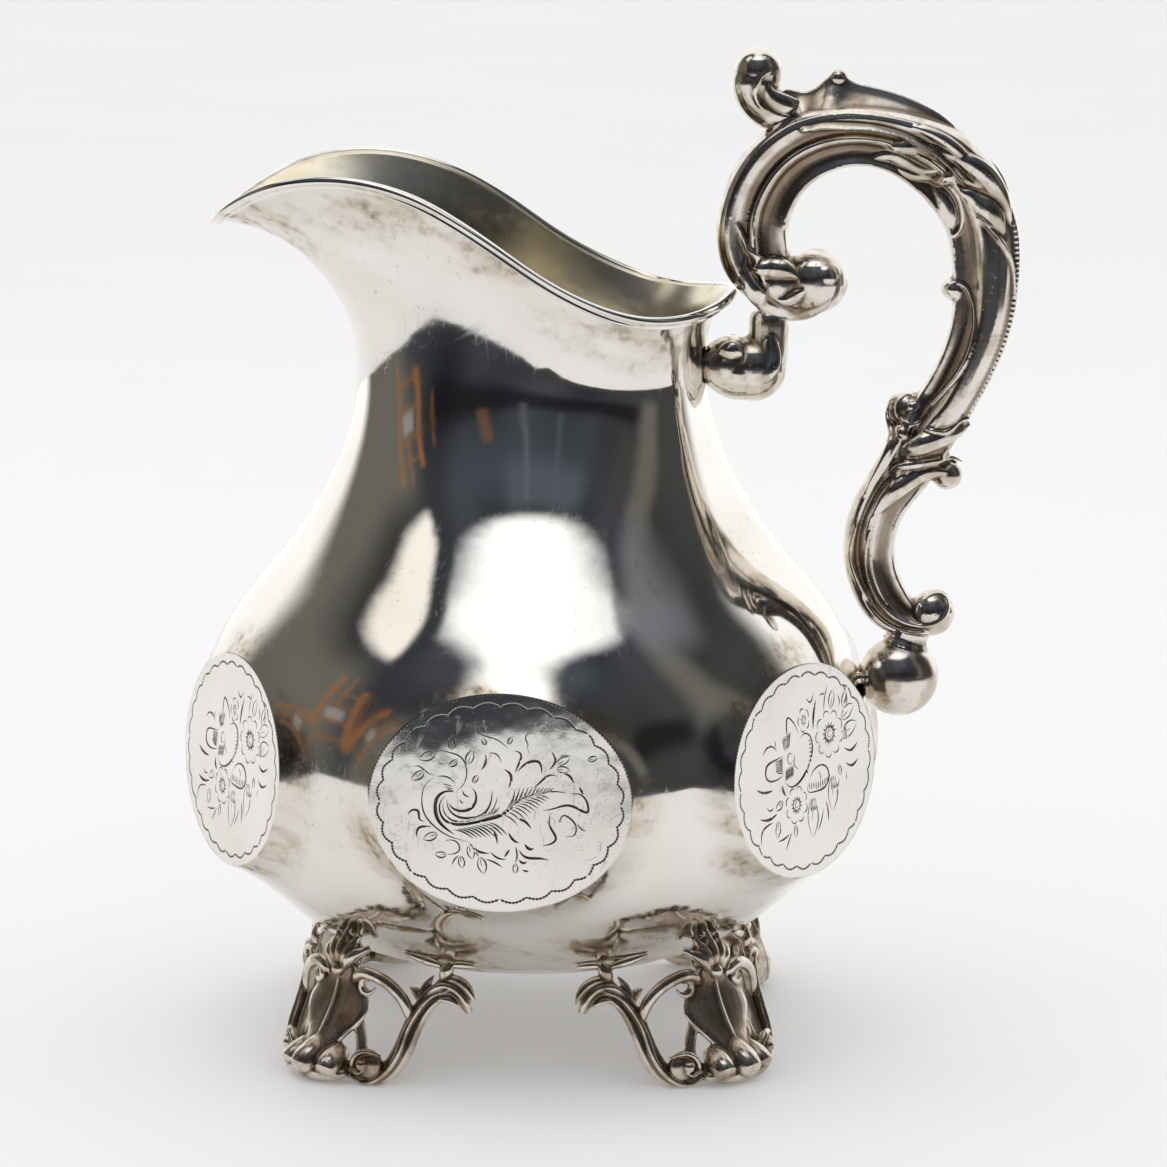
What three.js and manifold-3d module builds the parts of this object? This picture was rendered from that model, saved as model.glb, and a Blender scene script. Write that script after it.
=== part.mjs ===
// A footed silver cream jug: a raised pear-shaped body with six flat oval bosses, a wire-edged rim with
// a wide spout, a hollow scroll handle in two halves, and four openwork feet.
// Millimetres. +Z is up, the spout points to -X, the handle to +X, and the feet stand on z = 0.
import * as THREE from 'three';
import { mergeVertices } from 'three/addons/utils/BufferGeometryUtils.js';
import Module from 'manifold-3d';

const wasm = await Module();
wasm.setup();

// ---- driving dimensions ----
const CENTRE_SHIFT = -11.15; // moves the jug's turning axis so that the whole part is centred on x = 0
const GAP = 0.3; // clearance that soldered neighbours keep

const WALL = 0.8; // sheet thickness of the body
const COLUMNS = 54; // facets round the body
const LOWER_ROWS = 14; // facet rows from the base to the neck
const UPPER_ROWS = 6; // facet rows from the neck to the rim
// Radius and height down the side of the body, from the base disc to the start of the neck.
const SIDE = [
  [29.8, 17.0], [33.6, 17.9], [37.6, 20.3], [42.4, 24.3], [48.6, 30.2], [53.4, 38.2], [55.4, 47.0],
  [54.8, 56.0], [52.7, 64.0], [48.0, 72.0], [41.4, 80.0], [34.6, 90.0], [31.0, 97.5], [29.3, 103.5],
];

// The rim, by degrees from the handle round to the spout, the same on both sides.
const RIM_ANGLE = [0, 21, 34, 51, 69, 90, 111, 130, 142, 152, 162, 180];
const RIM_REACH = [32.4, 32.9, 32.8, 31.0, 27.6, 25.2, 26.7, 30.5, 37.1, 44.4, 49.5, 51.1];
const RIM_HEIGHT = [123.3, 122.5, 121.7, 121.7, 124.8, 130.5, 137.0, 141.6, 143.2, 141.9, 138.0, 134.6];
const RIM_FLARE = [52, 50, 46, 34, 16, 8, 16, 30, 44, 58, 76, 88]; // outward lean of the lip, degrees
const NECK_PULL = [7, 7, 7, 7, 6, 5, 6, 9, 13, 15.5, 16.5, 17]; // how far the neck keeps its upright line
const LIP_PULL = [6, 6, 6, 8, 12, 15, 13, 11, 11, 12, 13, 13]; // how early the lip starts to turn outwards
const NECK_PINCH = [0, 0, 0.01, 0.05, 0.09, 0.105, 0.085, 0.04, 0.01, 0, 0, 0]; // share it is pressed in by
const PINCH_START = 88; // the height from which the pinch grows
const WIRE_HALF_WIDTH = 1.1;
const WIRE_HALF_HEIGHT = 1.0;
const WIRE_SIDES = 6;
const NECK_START = 0.97; // the neck keeps the side's slope from here to its end
const LIP_CLEARANCE = 1.0; // the inside form runs on past the rim by this much

const BOSSES = 6;
const BOSS_REACH = 53.4; // from the axis to the flat face
const BOSS_HEIGHT = 50.2;
const BOSS_SLOPE = Math.tan(THREE.MathUtils.degToRad(4.4)); // each oval leans back, facing up a little
const BOSS_HALF_WIDTH = 20.7;
const BOSS_HALF_HEIGHT = 17.0;
const BOSS_SKIRT = 7.0; // how deep the sloping skirt round a boss runs into the side
const BOSS_SPREAD = 4.2; // how much wider the skirt is at its foot
const OVAL_SIDES = 26;

const BASE_PROFILE = [[0, 16.9], [25, 16.9], [26.5, 16.5], [29.5, 16.5], [29.5, 18.2], [0, 18.2]];

const HANDLE_WALL = 1.2;
const SMALLEST_HOLLOW = 1.0;
const SEAM = 0.15; // each handle half keeps this far from the centre plane
// Handle centre line: x, z, half thickness in the plane of the handle, half thickness across it.
const HANDLE_BAND = [
  [38.2, 122.2, 4.0, 4.0], [36.5, 128.6, 5.6, 4.8], [35.8, 134.4, 5.9, 5.1], [37.6, 140.4, 5.9, 5.2],
  [41.0, 145.4, 5.9, 5.2], [46.4, 149.2, 6.4, 5.2], [53.6, 150.4, 6.7, 5.2], [60.4, 148.6, 6.3, 5.3],
  [66.2, 144.3, 6.1, 5.5], [70.5, 139.4, 6.0, 5.5], [72.8, 134.0, 5.8, 5.2], [73.5, 127.4, 5.5, 4.9],
  [73.0, 119.7, 5.0, 4.5], [71.0, 113.0, 4.7, 4.3], [67.8, 106.6, 4.8, 4.3], [63.6, 99.8, 5.7, 4.6],
  [60.4, 94.4, 4.9, 4.3], [57.2, 89.4, 4.3, 4.0], [55.3, 83.8, 4.2, 3.8], [55.2, 79.6, 4.2, 3.6],
  [56.2, 75.8, 4.1, 3.5], [58.4, 72.0, 3.9, 3.4], [61.2, 69.6, 3.4, 3.3],
];
const BAND_STEPS = 36;
const BAND_SIDES = 8;
// Scroll ends on the handle: x, z, radius.
const UPPER_SCROLL = [45.6, 125.3, 5.4];
const INNER_SCROLL = [60.7, 104.1, 3.2];
const SPUR_SCROLL = [67.6, 94.0, 2.6];
const LOWER_SCROLL = [65.4, 70.9, 3.9];
const BEAD = [49.6, 157.6, 2.0];

const SCROLL_NECK = [[38.4, 125.6, 4.9], [42.2, 125.2, 4.9], [45.6, 125.3, 5.0]]; // x, z, radius
const BUD_PATH = [
  [36.5, 158.7, 4.05], [36.2, 155.6, 3.7], [37.2, 152.9, 2.9], [39.6, 151.4, 2.2], [43.6, 151.6, 1.7],
];
const NECK_SCROLL_PATH = [
  [38.6, 119.4, 3.4], [38.5, 114.6, 3.5], [37.4, 110.9, 4.6], [34.2, 110.4, 5.1], [29.6, 110.8, 4.6],
];
const NECK_SCROLL_BULB = [32.6, 110.8, 5.2];
const BALL = [60.2, 60.0, 6.5]; // x, z, radius of the hollow ball under the handle
const BALL_WALL = 0.9;
const HANDLE_SPACE = [120, 20, 200]; // a block of this reach, from the axis, holds the whole handle

const FOOT_ANGLES = [-41.5, 48.5, 138.5, 228.5]; // degrees round from the front, -Y
const FOOT_NAMES = ['foot_front_left', 'foot_front_right', 'foot_back_right', 'foot_back_left'];
// Foot bands: sideways from the foot's middle, outwards from the jug's axis, height, radius.
const WING_BAND = [
  [4.6, 46.6, 2.4, 1.9], [8.6, 43.6, 2.1, 1.8], [11.3, 41.6, 3.4, 1.8], [12.6, 40.0, 7.0, 1.8],
  [13.0, 38.0, 10.6, 1.7], [14.3, 36.0, 13.6, 1.6], [16.6, 34.2, 15.3, 1.6], [18.7, 32.9, 13.6, 1.1],
];
const INNER_BAND = [
  [3.4, 41.6, 16.6, 1.0], [7.8, 40.4, 16.4, 1.1], [11.0, 39.0, 14.2, 1.1], [12.8, 38.2, 11.2, 1.1],
];
const WING_ROOT = [[13.4, 36.8, 12.6, 1.2], [15.6, 34.4, 16.2, 1.3], [16.4, 33.2, 18.6, 1.2]];
const SHIN = [
  [0, 42.4, 22.6, 1.2], [0, 41.0, 18.0, 1.3], [0, 42.6, 13.4, 1.3], [0, 45.4, 8.8, 1.4], [0, 48.4, 4.4, 1.8],
];
const SHIN_WIDTH = 3.6; // the leaf is this much wider than it is thick
const TOES = [[0, 49.6, 3.0, 3.9], [-3.6, 47.6, 2.8, 3.4], [3.6, 47.6, 2.8, 3.4]];
const VOLUTE = [9.9, 42.2, 3.3, 2.5];
const WING_TILT = 0.2; // the wings' own plane leans by this slope
const FOOT_SPACE = [90, 60]; // half width and height of a block that holds every foot

// ---- materials ----
const bodySilver = new THREE.MeshStandardMaterial({ color: 0xd9d6cf, roughness: 0.16, metalness: 1 });
const castSilver = new THREE.MeshStandardMaterial({ color: 0xb9b1a4, roughness: 0.27, metalness: 1 });

// ---- small tools ----
const UP = new THREE.Vector3(0, 0, 1);
const ACROSS = new THREE.Vector3(0, 1, 0); // across the plane through spout and handle
const radians = THREE.MathUtils.degToRad;

function table(positions, values) {
  const curve = new THREE.CubicInterpolant(positions, values, 1, new Float64Array(1));
  return (x) => curve.evaluate(x)[0];
}

// A closed body from rings of points. A ring of rings closes on itself; otherwise each end gets a cap,
// and the last cap can rise to a point of its own.
function skin(rings, closesOnItself, apex = null) {
  const count = rings[0].length;
  const points = rings.flat();
  const faces = [];
  const last = closesOnItself ? rings.length : rings.length - 1;
  for (let i = 0; i < last; i += 1) {
    const next = (i + 1) % rings.length;
    for (let j = 0; j < count; j += 1) {
      const k = (j + 1) % count;
      faces.push(i * count + j, next * count + j, next * count + k);
      faces.push(i * count + j, next * count + k, i * count + k);
    }
  }
  if (!closesOnItself) {
    for (const [row, turned] of [[0, false], [rings.length - 1, true]]) {
      const middle = rings[row].reduce((sum, p) => sum.add(p), new THREE.Vector3()).divideScalar(count);
      points.push(turned && apex ? apex : middle);
      for (let j = 0; j < count; j += 1) {
        const a = row * count + j;
        const b = row * count + ((j + 1) % count);
        faces.push(...(turned ? [b, a, points.length - 1] : [a, b, points.length - 1]));
      }
    }
  }
  const geometry = new THREE.BufferGeometry();
  geometry.setAttribute('position', new THREE.Float32BufferAttribute(points.flatMap((p) => p.toArray()), 3));
  geometry.setIndex(faces);
  return facingOut(geometry);
}

function facingOut(geometry) {
  const position = geometry.getAttribute('position');
  const index = geometry.getIndex();
  const [a, b, c] = [new THREE.Vector3(), new THREE.Vector3(), new THREE.Vector3()];
  let volume = 0;
  for (let i = 0; i < index.count; i += 3) {
    a.fromBufferAttribute(position, index.getX(i));
    b.fromBufferAttribute(position, index.getX(i + 1));
    c.fromBufferAttribute(position, index.getX(i + 2));
    volume += a.dot(b.cross(c));
  }
  if (volume < 0) {
    geometry.setIndex([...index.array].reverse());
  }
  return geometry;
}

function solid(geometry) {
  const bare = geometry.clone();
  bare.deleteAttribute('normal');
  bare.deleteAttribute('uv');
  const merged = mergeVertices(bare, 1e-4);
  return new wasm.Manifold(new wasm.Mesh({
    numProp: 3,
    vertProperties: Float32Array.from(merged.getAttribute('position').array),
    triVerts: Uint32Array.from(merged.getIndex().array),
  }));
}

function geometryOf(manifold) {
  const mesh = manifold.getMesh();
  const geometry = new THREE.BufferGeometry();
  geometry.setAttribute('position', new THREE.BufferAttribute(mesh.vertProperties, 3));
  geometry.setIndex(new THREE.BufferAttribute(mesh.triVerts, 1));
  return geometry;
}

function joined(solids) {
  return solids.reduce((sum, next) => sum.add(next));
}

function block(low, high) {
  const size = high.map((value, i) => value - low[i]);
  const middle = high.map((value, i) => (value + low[i]) / 2);
  return solid(new THREE.BoxGeometry(...size).translate(...middle));
}

function ball(centre, radius, segments = 10) {
  return solid(new THREE.SphereGeometry(radius, segments, segments / 2).translate(...centre));
}

// A tube of varying oval section along a smooth line. `stations` hold a point, its half thickness in
// the line's own plane and its half thickness across that plane; `across` is the plane's normal.
function tube(stations, across, steps, sides) {
  const line = new THREE.CatmullRomCurve3(stations.map((s) => s.point), false, 'centripetal');
  const places = stations.map((_, i) => i / (stations.length - 1));
  const inPlane = table(places, stations.map((s) => s.inPlane));
  const sideways = table(places, stations.map((s) => s.sideways));
  const rings = [];
  for (let i = 0; i <= steps; i += 1) {
    const t = i / steps;
    const centre = line.getPoint(t);
    const outward = new THREE.Vector3().crossVectors(line.getTangent(t), across).normalize();
    const cross = new THREE.Vector3().crossVectors(outward, line.getTangent(t)).normalize();
    const ring = [];
    for (let j = 0; j < sides; j += 1) {
      const turn = (2 * Math.PI * j) / sides;
      ring.push(centre.clone()
        .addScaledVector(outward, Math.cos(turn) * inPlane(t))
        .addScaledVector(cross, Math.sin(turn) * sideways(t)));
    }
    rings.push(ring);
  }
  return solid(skin(rings, false));
}

function mesh(name, geometry, material) {
  const node = new THREE.Mesh(geometry, material);
  node.name = name;
  return node;
}

// ---- body ----
const columns = Array.from({ length: COLUMNS }, (_, j) => (2 * Math.PI * j) / COLUMNS);
const sideLine = new THREE.SplineCurve(SIDE.map(([r, z]) => new THREE.Vector2(r, z)));
const rimReach = table(RIM_ANGLE, RIM_REACH);
const rimHeight = table(RIM_ANGLE, RIM_HEIGHT);
const rimFlare = table(RIM_ANGLE, RIM_FLARE);
const neckPull = table(RIM_ANGLE, NECK_PULL);
const lipPull = table(RIM_ANGLE, LIP_PULL);
const neckPinch = table(RIM_ANGLE, NECK_PINCH);
const [, neckHeight] = SIDE[SIDE.length - 1];

// Angle from the handle, 0 to 180 degrees, the same on both sides of the jug.
function fromHandle(turn) {
  const degrees = THREE.MathUtils.radToDeg(Math.abs(Math.atan2(Math.sin(turn), Math.cos(turn))));
  return Math.min(degrees, 180);
}

// The rim's edge at this angle, the way the sheet runs into it, and the way out across the sheet.
function lip(turn) {
  const degrees = fromHandle(turn);
  const lean = radians(rimFlare(degrees));
  return {
    edge: new THREE.Vector2(rimReach(degrees), rimHeight(degrees)),
    along: new THREE.Vector2(Math.sin(lean), Math.cos(lean)),
    outward: new THREE.Vector2(Math.cos(lean), -Math.sin(lean)),
  };
}

// A point on the side, `place` running from 0 at the base to 1 at the neck, which is pinched front and back.
function sidePoint(place, turn) {
  const point = sideLine.getPoint(place);
  const grown = Math.max(0, (point.y - PINCH_START) / (neckHeight - PINCH_START)) ** 1.5;
  point.x *= 1 - neckPinch(fromHandle(turn)) * grown;
  return point;
}

// The neck leaves the side smoothly and turns out to the rim.
function neckLine(turn) {
  const start = sidePoint(1, turn);
  const rise = start.clone().sub(sidePoint(NECK_START, turn)).normalize();
  const { edge, along } = lip(turn);
  const end = edge.addScaledVector(along, -(GAP + WIRE_HALF_HEIGHT));
  return new THREE.CubicBezierCurve(
    start,
    start.clone().addScaledVector(rise, neckPull(fromHandle(turn))),
    end.clone().addScaledVector(along, -lipPull(fromHandle(turn))),
    end,
  );
}

function onJug(radius, height, turn) {
  return new THREE.Vector3(radius * Math.cos(turn), radius * Math.sin(turn), height);
}

// The round side and the neck, without the bosses.
function bodyRows() {
  const rows = [];
  for (let i = 0; i < LOWER_ROWS; i += 1) {
    rows.push(columns.map((turn) => {
      const { x: radius, y: height } = sidePoint(i / LOWER_ROWS, turn);
      return onJug(radius, height, turn);
    }));
  }
  for (let i = 0; i <= UPPER_ROWS; i += 1) {
    rows.push(columns.map((turn) => {
      const { x: radius, y: height } = neckLine(turn).getPoint(i / UPPER_ROWS);
      return onJug(radius, height, turn);
    }));
  }
  return rows;
}

// Each point of the rows moved along the surface's own normal.
function offsetRows(rows, distance) {
  const count = rows[0].length;
  return rows.map((row, i) => row.map((point, j) => {
    const along = rows[Math.min(i + 1, rows.length - 1)][j].clone().sub(rows[Math.max(i - 1, 0)][j]);
    const round = row[(j + 1) % count].clone().sub(row[(j + count - 1) % count]);
    return point.clone().addScaledVector(round.cross(along).normalize(), distance);
  }));
}

// A sloping oval plug on the face of one boss; `near` and `far` are distances from the jug's axis.
function oval(turn, near, nearGrowth, far, farGrowth) {
  const rings = [[near, nearGrowth], [far, farGrowth]].map(([reach, growth]) => (
    Array.from({ length: OVAL_SIDES }, (_, k) => {
      const angle = (2 * Math.PI * k) / OVAL_SIDES;
      const rise = Math.sin(angle) * (BOSS_HALF_HEIGHT + growth);
      return new THREE.Vector3(
        reach - rise * BOSS_SLOPE,
        Math.cos(angle) * (BOSS_HALF_WIDTH + growth),
        BOSS_HEIGHT + rise,
      ).applyAxisAngle(UP, turn);
    })));
  return solid(skin(rings, false));
}

// The whole body as one filled form, its faces moved out by `distance`. With an apex it is open above.
function filledBody(distance, apex = null) {
  const opening = apex ? [lipRow(distance)] : [];
  let form = solid(skin([...offsetRows(outerRows, distance), ...opening], false, apex));
  for (let k = 0; k < BOSSES; k += 1) {
    const turn = -Math.PI / 2 + (2 * Math.PI * k) / BOSSES;
    const face = BOSS_REACH + distance;
    form = form
      .subtract(oval(turn, face, distance, face + BOSS_SKIRT, distance + BOSS_SPREAD))
      .add(oval(turn, face - BOSS_SKIRT, distance + BOSS_SPREAD, face, distance));
  }
  return form;
}

// A ring just past the rim, which opens the inside form at the top.
function lipRow(distance) {
  return columns.map((turn) => {
    const { edge, along, outward } = lip(turn);
    const place = edge.addScaledVector(along, LIP_CLEARANCE).addScaledVector(outward, distance);
    return onJug(place.x, place.y, turn);
  });
}

const ABOVE = new THREE.Vector3(-10, 0, 260); // the inside form comes to a point here, above the mouth
const BASE_HOLE_DEPTH = 8;
const outerRows = bodyRows();
const baseHole = solid(new THREE.CylinderGeometry(SIDE[0][0], SIDE[0][0], BASE_HOLE_DEPTH, COLUMNS)
  .rotateX(Math.PI / 2).translate(0, 0, SIDE[0][1]));
const vesselBody = filledBody(0).subtract(filledBody(-WALL, ABOVE)).subtract(baseHole);
const bodyKeepOut = filledBody(GAP);

// ---- base disc ----
const baseDisc = new THREE.LatheGeometry(BASE_PROFILE.map(([r, z]) => new THREE.Vector2(r, z)), COLUMNS)
  .rotateX(Math.PI / 2);

// ---- rim wire ----
function rimWire() {
  const rings = columns.map((turn) => {
    const { edge, along, outward } = lip(turn);
    return Array.from({ length: WIRE_SIDES }, (_, k) => {
      const angle = (2 * Math.PI * k) / WIRE_SIDES;
      const place = edge.clone()
        .addScaledVector(along, Math.cos(angle) * WIRE_HALF_HEIGHT)
        .addScaledVector(outward, Math.sin(angle) * WIRE_HALF_WIDTH);
      return onJug(place.x, place.y, turn);
    });
  });
  return skin(rings, true);
}

// ---- handle ----
// The handle as one filled form, its faces moved in by `shrink`. Scrolls too small to be hollow drop out.
function handleCore(shrink) {
  const stations = HANDLE_BAND.map(([x, z, thick, wide]) => ({
    point: new THREE.Vector3(x, 0, z),
    inPlane: thick - shrink,
    sideways: wide - shrink,
  }));
  const scrolls = [UPPER_SCROLL, INNER_SCROLL, SPUR_SCROLL, LOWER_SCROLL, BEAD]
    .filter(([, , radius]) => radius - shrink > SMALLEST_HOLLOW)
    .map(([x, z, radius]) => ball([x, 0, z], radius - shrink));
  const neck = roundTube(SCROLL_NECK.map(([x, z, radius]) => [x, z, radius - shrink]), 4);
  return joined([tube(stations, ACROSS, BAND_STEPS, BAND_SIDES), neck, ...scrolls]);
}

function roundTube(path, steps) {
  return tube(path.map(([x, z, radius]) => ({
    point: new THREE.Vector3(x, 0, z),
    inPlane: radius,
    sideways: radius,
  })), ACROSS, steps, BAND_SIDES);
}

const [ballX, ballZ, ballRadius] = BALL;
const ballKeepOut = ball([ballX, 0, ballZ], ballRadius + GAP);
const wireSolid = solid(rimWire());
const wireShifts = [[-GAP, -GAP], [-GAP, GAP], [GAP, -GAP], [GAP, GAP]];
const wireKeepOut = joined(wireShifts.map(([dx, dz]) => wireSolid.translate([dx, 0, dz])));
const handleShell = handleCore(0)
  .subtract(ballKeepOut)
  .subtract(bodyKeepOut)
  .subtract(handleCore(HANDLE_WALL))
  .subtract(wireKeepOut);

// The part of a form on one side of the centre plane; `side` is -1 for the front and 1 for the back.
function halfOf(form, side) {
  const [long, wide, tall] = HANDLE_SPACE;
  const [low, high] = side < 0 ? [-wide, -SEAM] : [SEAM, wide];
  return geometryOf(form.intersect(block([0, low, 0], [long, high, tall])));
}

const handleKeepOut = handleCore(-GAP);
const [[budX, budZ, budRadius]] = BUD_PATH;
const thumbBud = roundTube(BUD_PATH, 10).add(ball([budX, 0, budZ], budRadius));
const [bulbX, bulbZ, bulbRadius] = NECK_SCROLL_BULB;
const neckScroll = roundTube(NECK_SCROLL_PATH, 12).add(ball([bulbX, 0, bulbZ], bulbRadius));
const neckScrollSoldered = neckScroll.subtract(handleKeepOut).subtract(bodyKeepOut);
const ballShell = ball([ballX, 0, ballZ], ballRadius, 16)
  .subtract(ball([ballX, 0, ballZ], ballRadius - BALL_WALL, 16))
  .subtract(bodyKeepOut);

// ---- feet ----
const wingPlane = new THREE.Vector3(0, 1, WING_TILT);
const shinPlane = new THREE.Vector3(1, 0, 0);

function footBand(stations, side, steps, plane = wingPlane, widen = 1) {
  return tube(stations.map(([aside, out, z, radius]) => ({
    point: new THREE.Vector3(aside * side, -out, z),
    inPlane: radius,
    sideways: radius * widen,
  })), plane, steps, 6);
}

function foot() {
  const parts = [footBand(SHIN, 1, 5, shinPlane, SHIN_WIDTH)];
  for (const [aside, out, z, radius] of TOES) {
    parts.push(ball([aside, -out, z], radius, 8));
  }
  for (const side of [-1, 1]) {
    parts.push(footBand(WING_BAND, side, 8));
    parts.push(footBand(INNER_BAND, side, 3));
    parts.push(footBand(WING_ROOT, side, 2));
    parts.push(ball([VOLUTE[0] * side, -VOLUTE[1], VOLUTE[2]], VOLUTE[3], 8));
  }
  return joined(parts);
}

const footSolid = foot();

function footGeometry(degrees) {
  const [wide, tall] = FOOT_SPACE;
  return geometryOf(footSolid.rotate([0, 0, degrees])
    .subtract(bodyKeepOut)
    .intersect(block([-wide, -wide, 0], [wide, wide, tall])));
}

// ---- assembly ----
const jug = new THREE.Group();
jug.position.x = CENTRE_SHIFT;
jug.add(mesh('vessel_body', geometryOf(vesselBody), bodySilver));
jug.add(mesh('base_disc', baseDisc, bodySilver));
jug.add(mesh('rim_wire', rimWire(), bodySilver));
jug.add(mesh('handle_half_front', halfOf(handleShell, -1), castSilver));
jug.add(mesh('handle_half_back', halfOf(handleShell, 1), castSilver));
jug.add(mesh('thumb_bud', geometryOf(thumbBud.subtract(handleKeepOut)), castSilver));
jug.add(mesh('neck_scroll', geometryOf(neckScrollSoldered), castSilver));
jug.add(mesh('ball_half_front', halfOf(ballShell, -1), castSilver));
jug.add(mesh('ball_half_back', halfOf(ballShell, 1), castSilver));
FOOT_NAMES.forEach((name, i) => jug.add(mesh(name, footGeometry(FOOT_ANGLES[i]), castSilver)));

export default jug;
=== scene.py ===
import math

import bmesh
import bpy
import numpy as np
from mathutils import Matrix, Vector
from mathutils.bvhtree import BVHTree
from mathutils.geometry import delaunay_2d_cdt


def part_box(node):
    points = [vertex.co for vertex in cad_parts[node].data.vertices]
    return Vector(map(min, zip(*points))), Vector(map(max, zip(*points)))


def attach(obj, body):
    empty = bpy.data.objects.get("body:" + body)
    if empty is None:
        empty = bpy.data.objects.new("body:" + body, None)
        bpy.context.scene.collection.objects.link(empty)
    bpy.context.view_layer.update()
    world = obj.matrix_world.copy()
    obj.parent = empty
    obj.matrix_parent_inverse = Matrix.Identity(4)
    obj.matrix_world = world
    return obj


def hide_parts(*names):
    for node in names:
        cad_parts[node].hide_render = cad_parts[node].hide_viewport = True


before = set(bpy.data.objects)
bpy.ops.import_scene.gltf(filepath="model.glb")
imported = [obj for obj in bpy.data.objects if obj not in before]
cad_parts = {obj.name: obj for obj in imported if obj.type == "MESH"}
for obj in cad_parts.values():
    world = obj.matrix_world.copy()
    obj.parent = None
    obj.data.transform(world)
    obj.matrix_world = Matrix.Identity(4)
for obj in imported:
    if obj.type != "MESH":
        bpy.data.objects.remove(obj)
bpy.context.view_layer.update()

# Lengths are millimetres from the jug's turning axis until a mesh is made; MM turns them into metres.
MM = 0.001
DISC_LOW, DISC_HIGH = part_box("base_disc")
AXIS_X = (DISC_LOW.x + DISC_HIGH.x) / 2 / MM

# ---- driving dimensions of the body ----
# Radius and height down the side of the body, from the base disc to the start of the neck.
SIDE = [
    (29.8, 17.0), (33.6, 17.9), (37.6, 20.3), (42.4, 24.3), (48.6, 30.2), (53.4, 38.2), (55.4, 47.0),
    (54.8, 56.0), (52.7, 64.0), (48.0, 72.0), (41.4, 80.0), (34.6, 90.0), (31.0, 97.5), (29.3, 103.5),
]
# The rim, by degrees from the handle round to the spout, the same on both sides.
RIM_ANGLE = [0, 21, 34, 51, 69, 90, 111, 130, 142, 152, 162, 180]
RIM_REACH = [32.4, 32.9, 32.8, 31.0, 27.6, 25.2, 26.7, 30.5, 37.1, 44.4, 49.5, 51.1]
RIM_HEIGHT = [123.3, 122.5, 121.7, 121.7, 124.8, 130.5, 137.0, 141.6, 143.2, 141.9, 138.0, 134.6]
RIM_FLARE = [52, 50, 46, 34, 16, 8, 16, 30, 44, 58, 76, 88]
NECK_PULL = [7, 7, 7, 7, 6, 5, 6, 9, 13, 15.5, 16.5, 17]
LIP_PULL = [6, 6, 6, 8, 12, 15, 13, 11, 11, 12, 13, 13]
NECK_PINCH = [0, 0, .01, .05, .09, .105, .085, .04, .01, 0, 0, 0]  # share by which the neck is pressed in
PINCH_START, PINCH_GROWTH = 76.0, 1.4  # the height from which the pinch grows, and its power
BLEND_HEIGHT = 95.0  # from here up each side of the neck has its own outline
NECK_SAMPLES = (0.3, 0.55, 0.78, 1.0)
WALL = 0.8

COLUMNS = 480
SECTOR_FOOT = 24.3  # the bosses lie between these two heights
SECTOR_TOP = 76.0
LOWER_ROWS, SECTOR_ROWS, UPPER_ROWS, INNER_ROWS = 24, 84, 130, 70
PROBES = 4000  # samples of the side outline, for looking up a radius by height

BOSSES = 6
BOSS_REACH = 53.4
BOSS_HEIGHT = 50.2
BOSS_WIDE, BOSS_TALL = 20.7, 17.0  # half sizes of the oval
BOSS_SLOPE = math.tan(math.radians(4.4))  # each oval leans back, so that it faces up a little
OVAL_POINTS = 192
SKIRT_ABOVE, SKIRT_SIDE, SKIRT_BELOW = 8.0, 6.0, 8.2  # how far the swelling round a boss spreads
SKIRT_TURN = (0.35, 0.95)  # between these sines of the angle the spread goes from the side's to the other's
SKIRT_CLEAR = 0.98  # points of the plain body are left out nearer than this share of the spread
SKIRT_RINGS = (0.0, 0.02, 0.05, 0.1, 0.17, 0.25, 0.34, 0.44, 0.55, 0.67, 0.8, 0.93)
FACE_RINGS = (0.985, 0.95, 0.88, 0.76, 0.6, 0.42, 0.22)  # rings of points on the flat face, by share
FACE_RING_STEP = 0.6  # inner rings have fewer points

# Tarnish on the body, all in mm: how far it reaches from the edge of an oval and where that edge is,
# between which distances it fades below the rim, and between which heights it fades above the base;
# the part above the base is painted shade as well as tarnish, standing in for the floor's shadow in the silver.
GRIME_OVAL, GRIME_EDGE = 5.5, 0.4
GRIME_RIM, BASE_TARNISH_AND_SHADE = (0.5, 13.0), (16.5, 36.0)
FLAT_INSIDE = -0.12  # faces further inside an oval than this are flat shaded


# ---- curves ----
def spline(xs, ys, flat_ends=False):
    """The smooth cubic through the points, as a function of x. Each y may be a number or a vector."""
    xs, ys = np.asarray(xs, float), np.asarray(ys, float)
    flat = ys.reshape(len(xs), -1)
    gap = np.diff(xs)
    slope = np.diff(flat, axis=0) / gap[:, None]
    a = np.zeros((len(xs), len(xs)))
    b = np.zeros_like(flat)
    for i in range(1, len(xs) - 1):
        a[i, i - 1:i + 2] = gap[i - 1], 2 * (gap[i - 1] + gap[i]), gap[i]
        b[i] = 6 * (slope[i] - slope[i - 1])
    if flat_ends:
        a[0, :2] = 2 * gap[0], gap[0]
        a[-1, -2:] = gap[-1], 2 * gap[-1]
        b[0], b[-1] = 6 * slope[0], -6 * slope[-1]
    else:
        a[0, 0] = a[-1, -1] = 1
    bend = np.linalg.solve(a, b)

    def at(x):
        x = np.asarray(x, float)
        i = np.clip(np.searchsorted(xs, x) - 1, 0, len(xs) - 2)
        t, k = (x - xs[i])[..., None], gap[i][..., None]
        value = flat[i] + t * (slope[i] - k * (2 * bend[i] + bend[i + 1]) / 6)
        value = value + t ** 2 * bend[i] / 2 + t ** 3 * (bend[i + 1] - bend[i]) / (6 * k)
        return value.reshape(x.shape + ys.shape[1:])

    return at


def chords(points):
    """Running length along a line of points."""
    return np.concatenate([[0], np.cumsum(np.linalg.norm(np.diff(points, axis=0), axis=1))])


def smoothstep(low, high, x):
    t = np.clip((np.asarray(x, float) - low) / (high - low), 0, 1)
    return t * t * (3 - 2 * t)


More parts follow.
